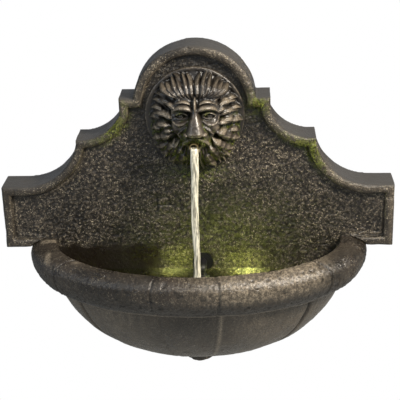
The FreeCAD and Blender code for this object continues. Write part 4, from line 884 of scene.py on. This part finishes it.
# The lamps' pools of light: a small warm green lamp under the water at each spotlight,
# shining up the rough wall
for name, x, watts in (("left", -0.052, 0.050), ("right", 0.096, 0.125)):
    soft_light("spot_glow_" + name, at=(x, -0.092, -0.220), size=0.02, energy=watts,
               colour=(1.0, 0.98, 0.36), aim=(x, FACE_Y, -0.185))


# The water in the bowl: a level sheet with rings where the jet lands, drawn up a
# little against the panel
POOL_HALF, LANDING_Y = 0.2690, JET_TOP.y - JET_THROW
RIPPLE_HIGH, RIPPLE_LONG, CLIMB_HIGH = 0.0013, 0.017, 0.0018

pool_group, place, given = new_group("still_water")
ripple = noise(pool_group, place, 90, 2)
cloudy = ramp(pool_group, noise(pool_group, place, 15, 2), 0.4, 0.7)
finish_group(pool_group, Color=mix(pool_group, cloudy, (0.62, 0.74, 0.42), (0.80, 0.86, 0.66)),
             Roughness=ramp(pool_group, ripple, 0, 1, 0.02, 0.06), Height=ripple)
pool_water = shaded("pool_water", pool_group, {}, 0.25, 0.001, Transmission_Weight=1.0, IOR=1.33)
tree = pool_water.node_tree
shader = next(n for n in tree.nodes if n.type == "BSDF_PRINCIPLED")
output = next(n for n in tree.nodes if n.type == "OUTPUT_MATERIAL")
clear = put(tree, "BsdfTransparent", {"Color": (0.75, 0.82, 0.6, 1)})
in_shadow = put(tree, "LightPath").outputs["Is Shadow Ray"]
either = put(tree, "MixShader", {0: in_shadow, 1: shader.outputs[0], 2: clear.outputs[0]})
tree.links.new(either.outputs[0], output.inputs["Surface"])

share = np.linspace(0, 1, 90)[:, None]
x = POOL_HALF * np.sin(np.linspace(-np.pi / 2, np.pi / 2, 150))[None, :] * np.ones_like(share)
shore = BOWL_BACK_Y - BOWL_SHARE * np.sqrt(np.clip(POOL_HALF ** 2 - x[0] ** 2, 0, 1))
back = FACE_Y - 0.0006
y = back + (shore - back)[None, :] * share
r = np.hypot(x, y - LANDING_Y)
z = WATER_Z + RIPPLE_HIGH * np.sin(2 * np.pi * r / RIPPLE_LONG) * np.exp(-r / 0.05) + 0.002 * bell(r, 0.009)
z += CLIMB_HIGH * np.exp(-(back - y) / 0.0016)
flat_points = np.stack([x.ravel(), y.ravel(), 0 * x.ravel()], axis=1)
z += ((lumps(flat_points, 0.012, 3) - 0.5) * 0.0006).reshape(z.shape)
number = np.arange(z.size).reshape(z.shape)
corners = (number[:-1, :-1], number[1:, :-1], number[1:, 1:], number[:-1, 1:])
pool = sheet("water_level", x, y, z, corners, pool_water)
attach(pool, "fountain")


# Fittings: the CAD nodes that show as they are, each in its slot's own surface: brass and
# steel fixings, rubber hoses and seals, the pump's and the lamps' moulded plastic
metal_group, place, given = new_group(
    "worked_metal", [("Tint", "Color", (0.6, 0.6, 0.6, 1)), ("Stain", "Color", (0.2, 0.2, 0.2, 1))])
brushed = noise(metal_group, place, 260, 3, 0.6, (1.0, 1.0, 0.15))
stained = noise(metal_group, place, 55, 4)
dull_share = ramp(metal_group, stained, 0.50, 0.72)
colour = mix(metal_group, dull_share, given.outputs["Tint"], given.outputs["Stain"])
finish_group(metal_group, Color=colour, Roughness=ramp(metal_group, brushed, 0.2, 0.8, 0.24, 0.5),
             Height=maths(metal_group, "ADD", brushed, stained))

moulded_group, place, given = new_group(
    "moulded", [("Tint", "Color", (0.04, 0.04, 0.04, 1)), ("Stain", "Color", (0.10, 0.11, 0.08, 1))])
film = noise(moulded_group, place, 40, 4)
film_share = ramp(moulded_group, film, 0.48, 0.75, 0.0, 0.6)
colour = mix(moulded_group, film_share, given.outputs["Tint"], given.outputs["Stain"])
finish_group(moulded_group, Color=colour, Roughness=ramp(moulded_group, film, 0.3, 0.7, 0.32, 0.55),
             Height=noise(moulded_group, place, 900, 2))

foam_group, place, given = new_group("open_foam")
cells = put(foam_group, "TexVoronoi", {"Vector": place, "Scale": 600.0}).outputs["Distance"]
finish_group(foam_group, Color=mix(foam_group, cells, (0.006, 0.006, 0.007), (0.10, 0.10, 0.11)),
             Roughness=ramp(foam_group, cells, 0, 1, 0.8, 1.0), Height=cells)

board_group, place, given = new_group("lamp_board", lit=True)
dots = noise(board_group, place, 300, 1)
finish_group(board_group, Color=mix(board_group, dots, (0.55, 0.54, 0.30), (0.85, 0.84, 0.6)),
             Roughness=ramp(board_group, dots, 0, 1, 0.3, 0.6), Height=dots,
             Emission_Color=mix(board_group, dots, (0.55, 0.62, 0.12), (0.95, 1.0, 0.30)))

slot_materials = {
    "sponge": shaded("sponge", foam_group, {}, 0.9, 0.0008),
    "led_board": shaded("led_board", board_group, {}, 0.2, 0.0003, Emission_Strength=4.0),
}
METAL = {"Metallic": 1.0}
for slot, group, tint, stain, bump, bump_deep, fixed in (
        ("brass", metal_group, (0.62, 0.47, 0.22), (0.26, 0.25, 0.13), 0.3, 0.0004, METAL),
        ("steel", metal_group, (0.60, 0.60, 0.59), (0.36, 0.34, 0.31), 0.25, 0.0004, METAL),
        ("magnet", metal_group, (0.10, 0.10, 0.10), (0.16, 0.12, 0.09), 0.4, 0.0004, {"Metallic": 0.6}),
        ("black_rubber", moulded_group, (0.020, 0.020, 0.020), (0.06, 0.06, 0.05), 0.15, 0.0003, {}),
        ("hose_rubber", moulded_group, (0.025, 0.027, 0.025), (0.07, 0.07, 0.06), 0.1, 0.0003, {}),
        ("pump_plastic", moulded_group, (0.008, 0.008, 0.009), (0.025, 0.030, 0.015), 0.2, 0.0003, {}),
        ("impeller_plastic", moulded_group, (0.66, 0.66, 0.62), (0.45, 0.46, 0.34), 0.1, 0.0002, {}),
        ("spot_shell", moulded_group, (0.025, 0.025, 0.025), (0.06, 0.07, 0.04), 0.1, 0.0003,
         {"Coat_Weight": 0.4}),
        ("spot_lens", moulded_group, (0.90, 0.94, 0.80), (0.80, 0.85, 0.62), 0.05, 0.0002,
         {"Transmission_Weight": 0.95, "IOR": 1.49})):
    levels = {"Tint": (*tint, 1), "Stain": (*stain, 1)}
    slot_materials[slot] = shaded(slot, group, levels, bump, bump_deep, **fixed)
replaced = {"back_panel", "basin", "lion_mask"}
for part in frame["record"]["subparts"]:
    if part["node"] not in replaced:
        for held in frame["nodes"][part["node"]].material_slots:
            held.material = slot_materials[part["material_slot"]]
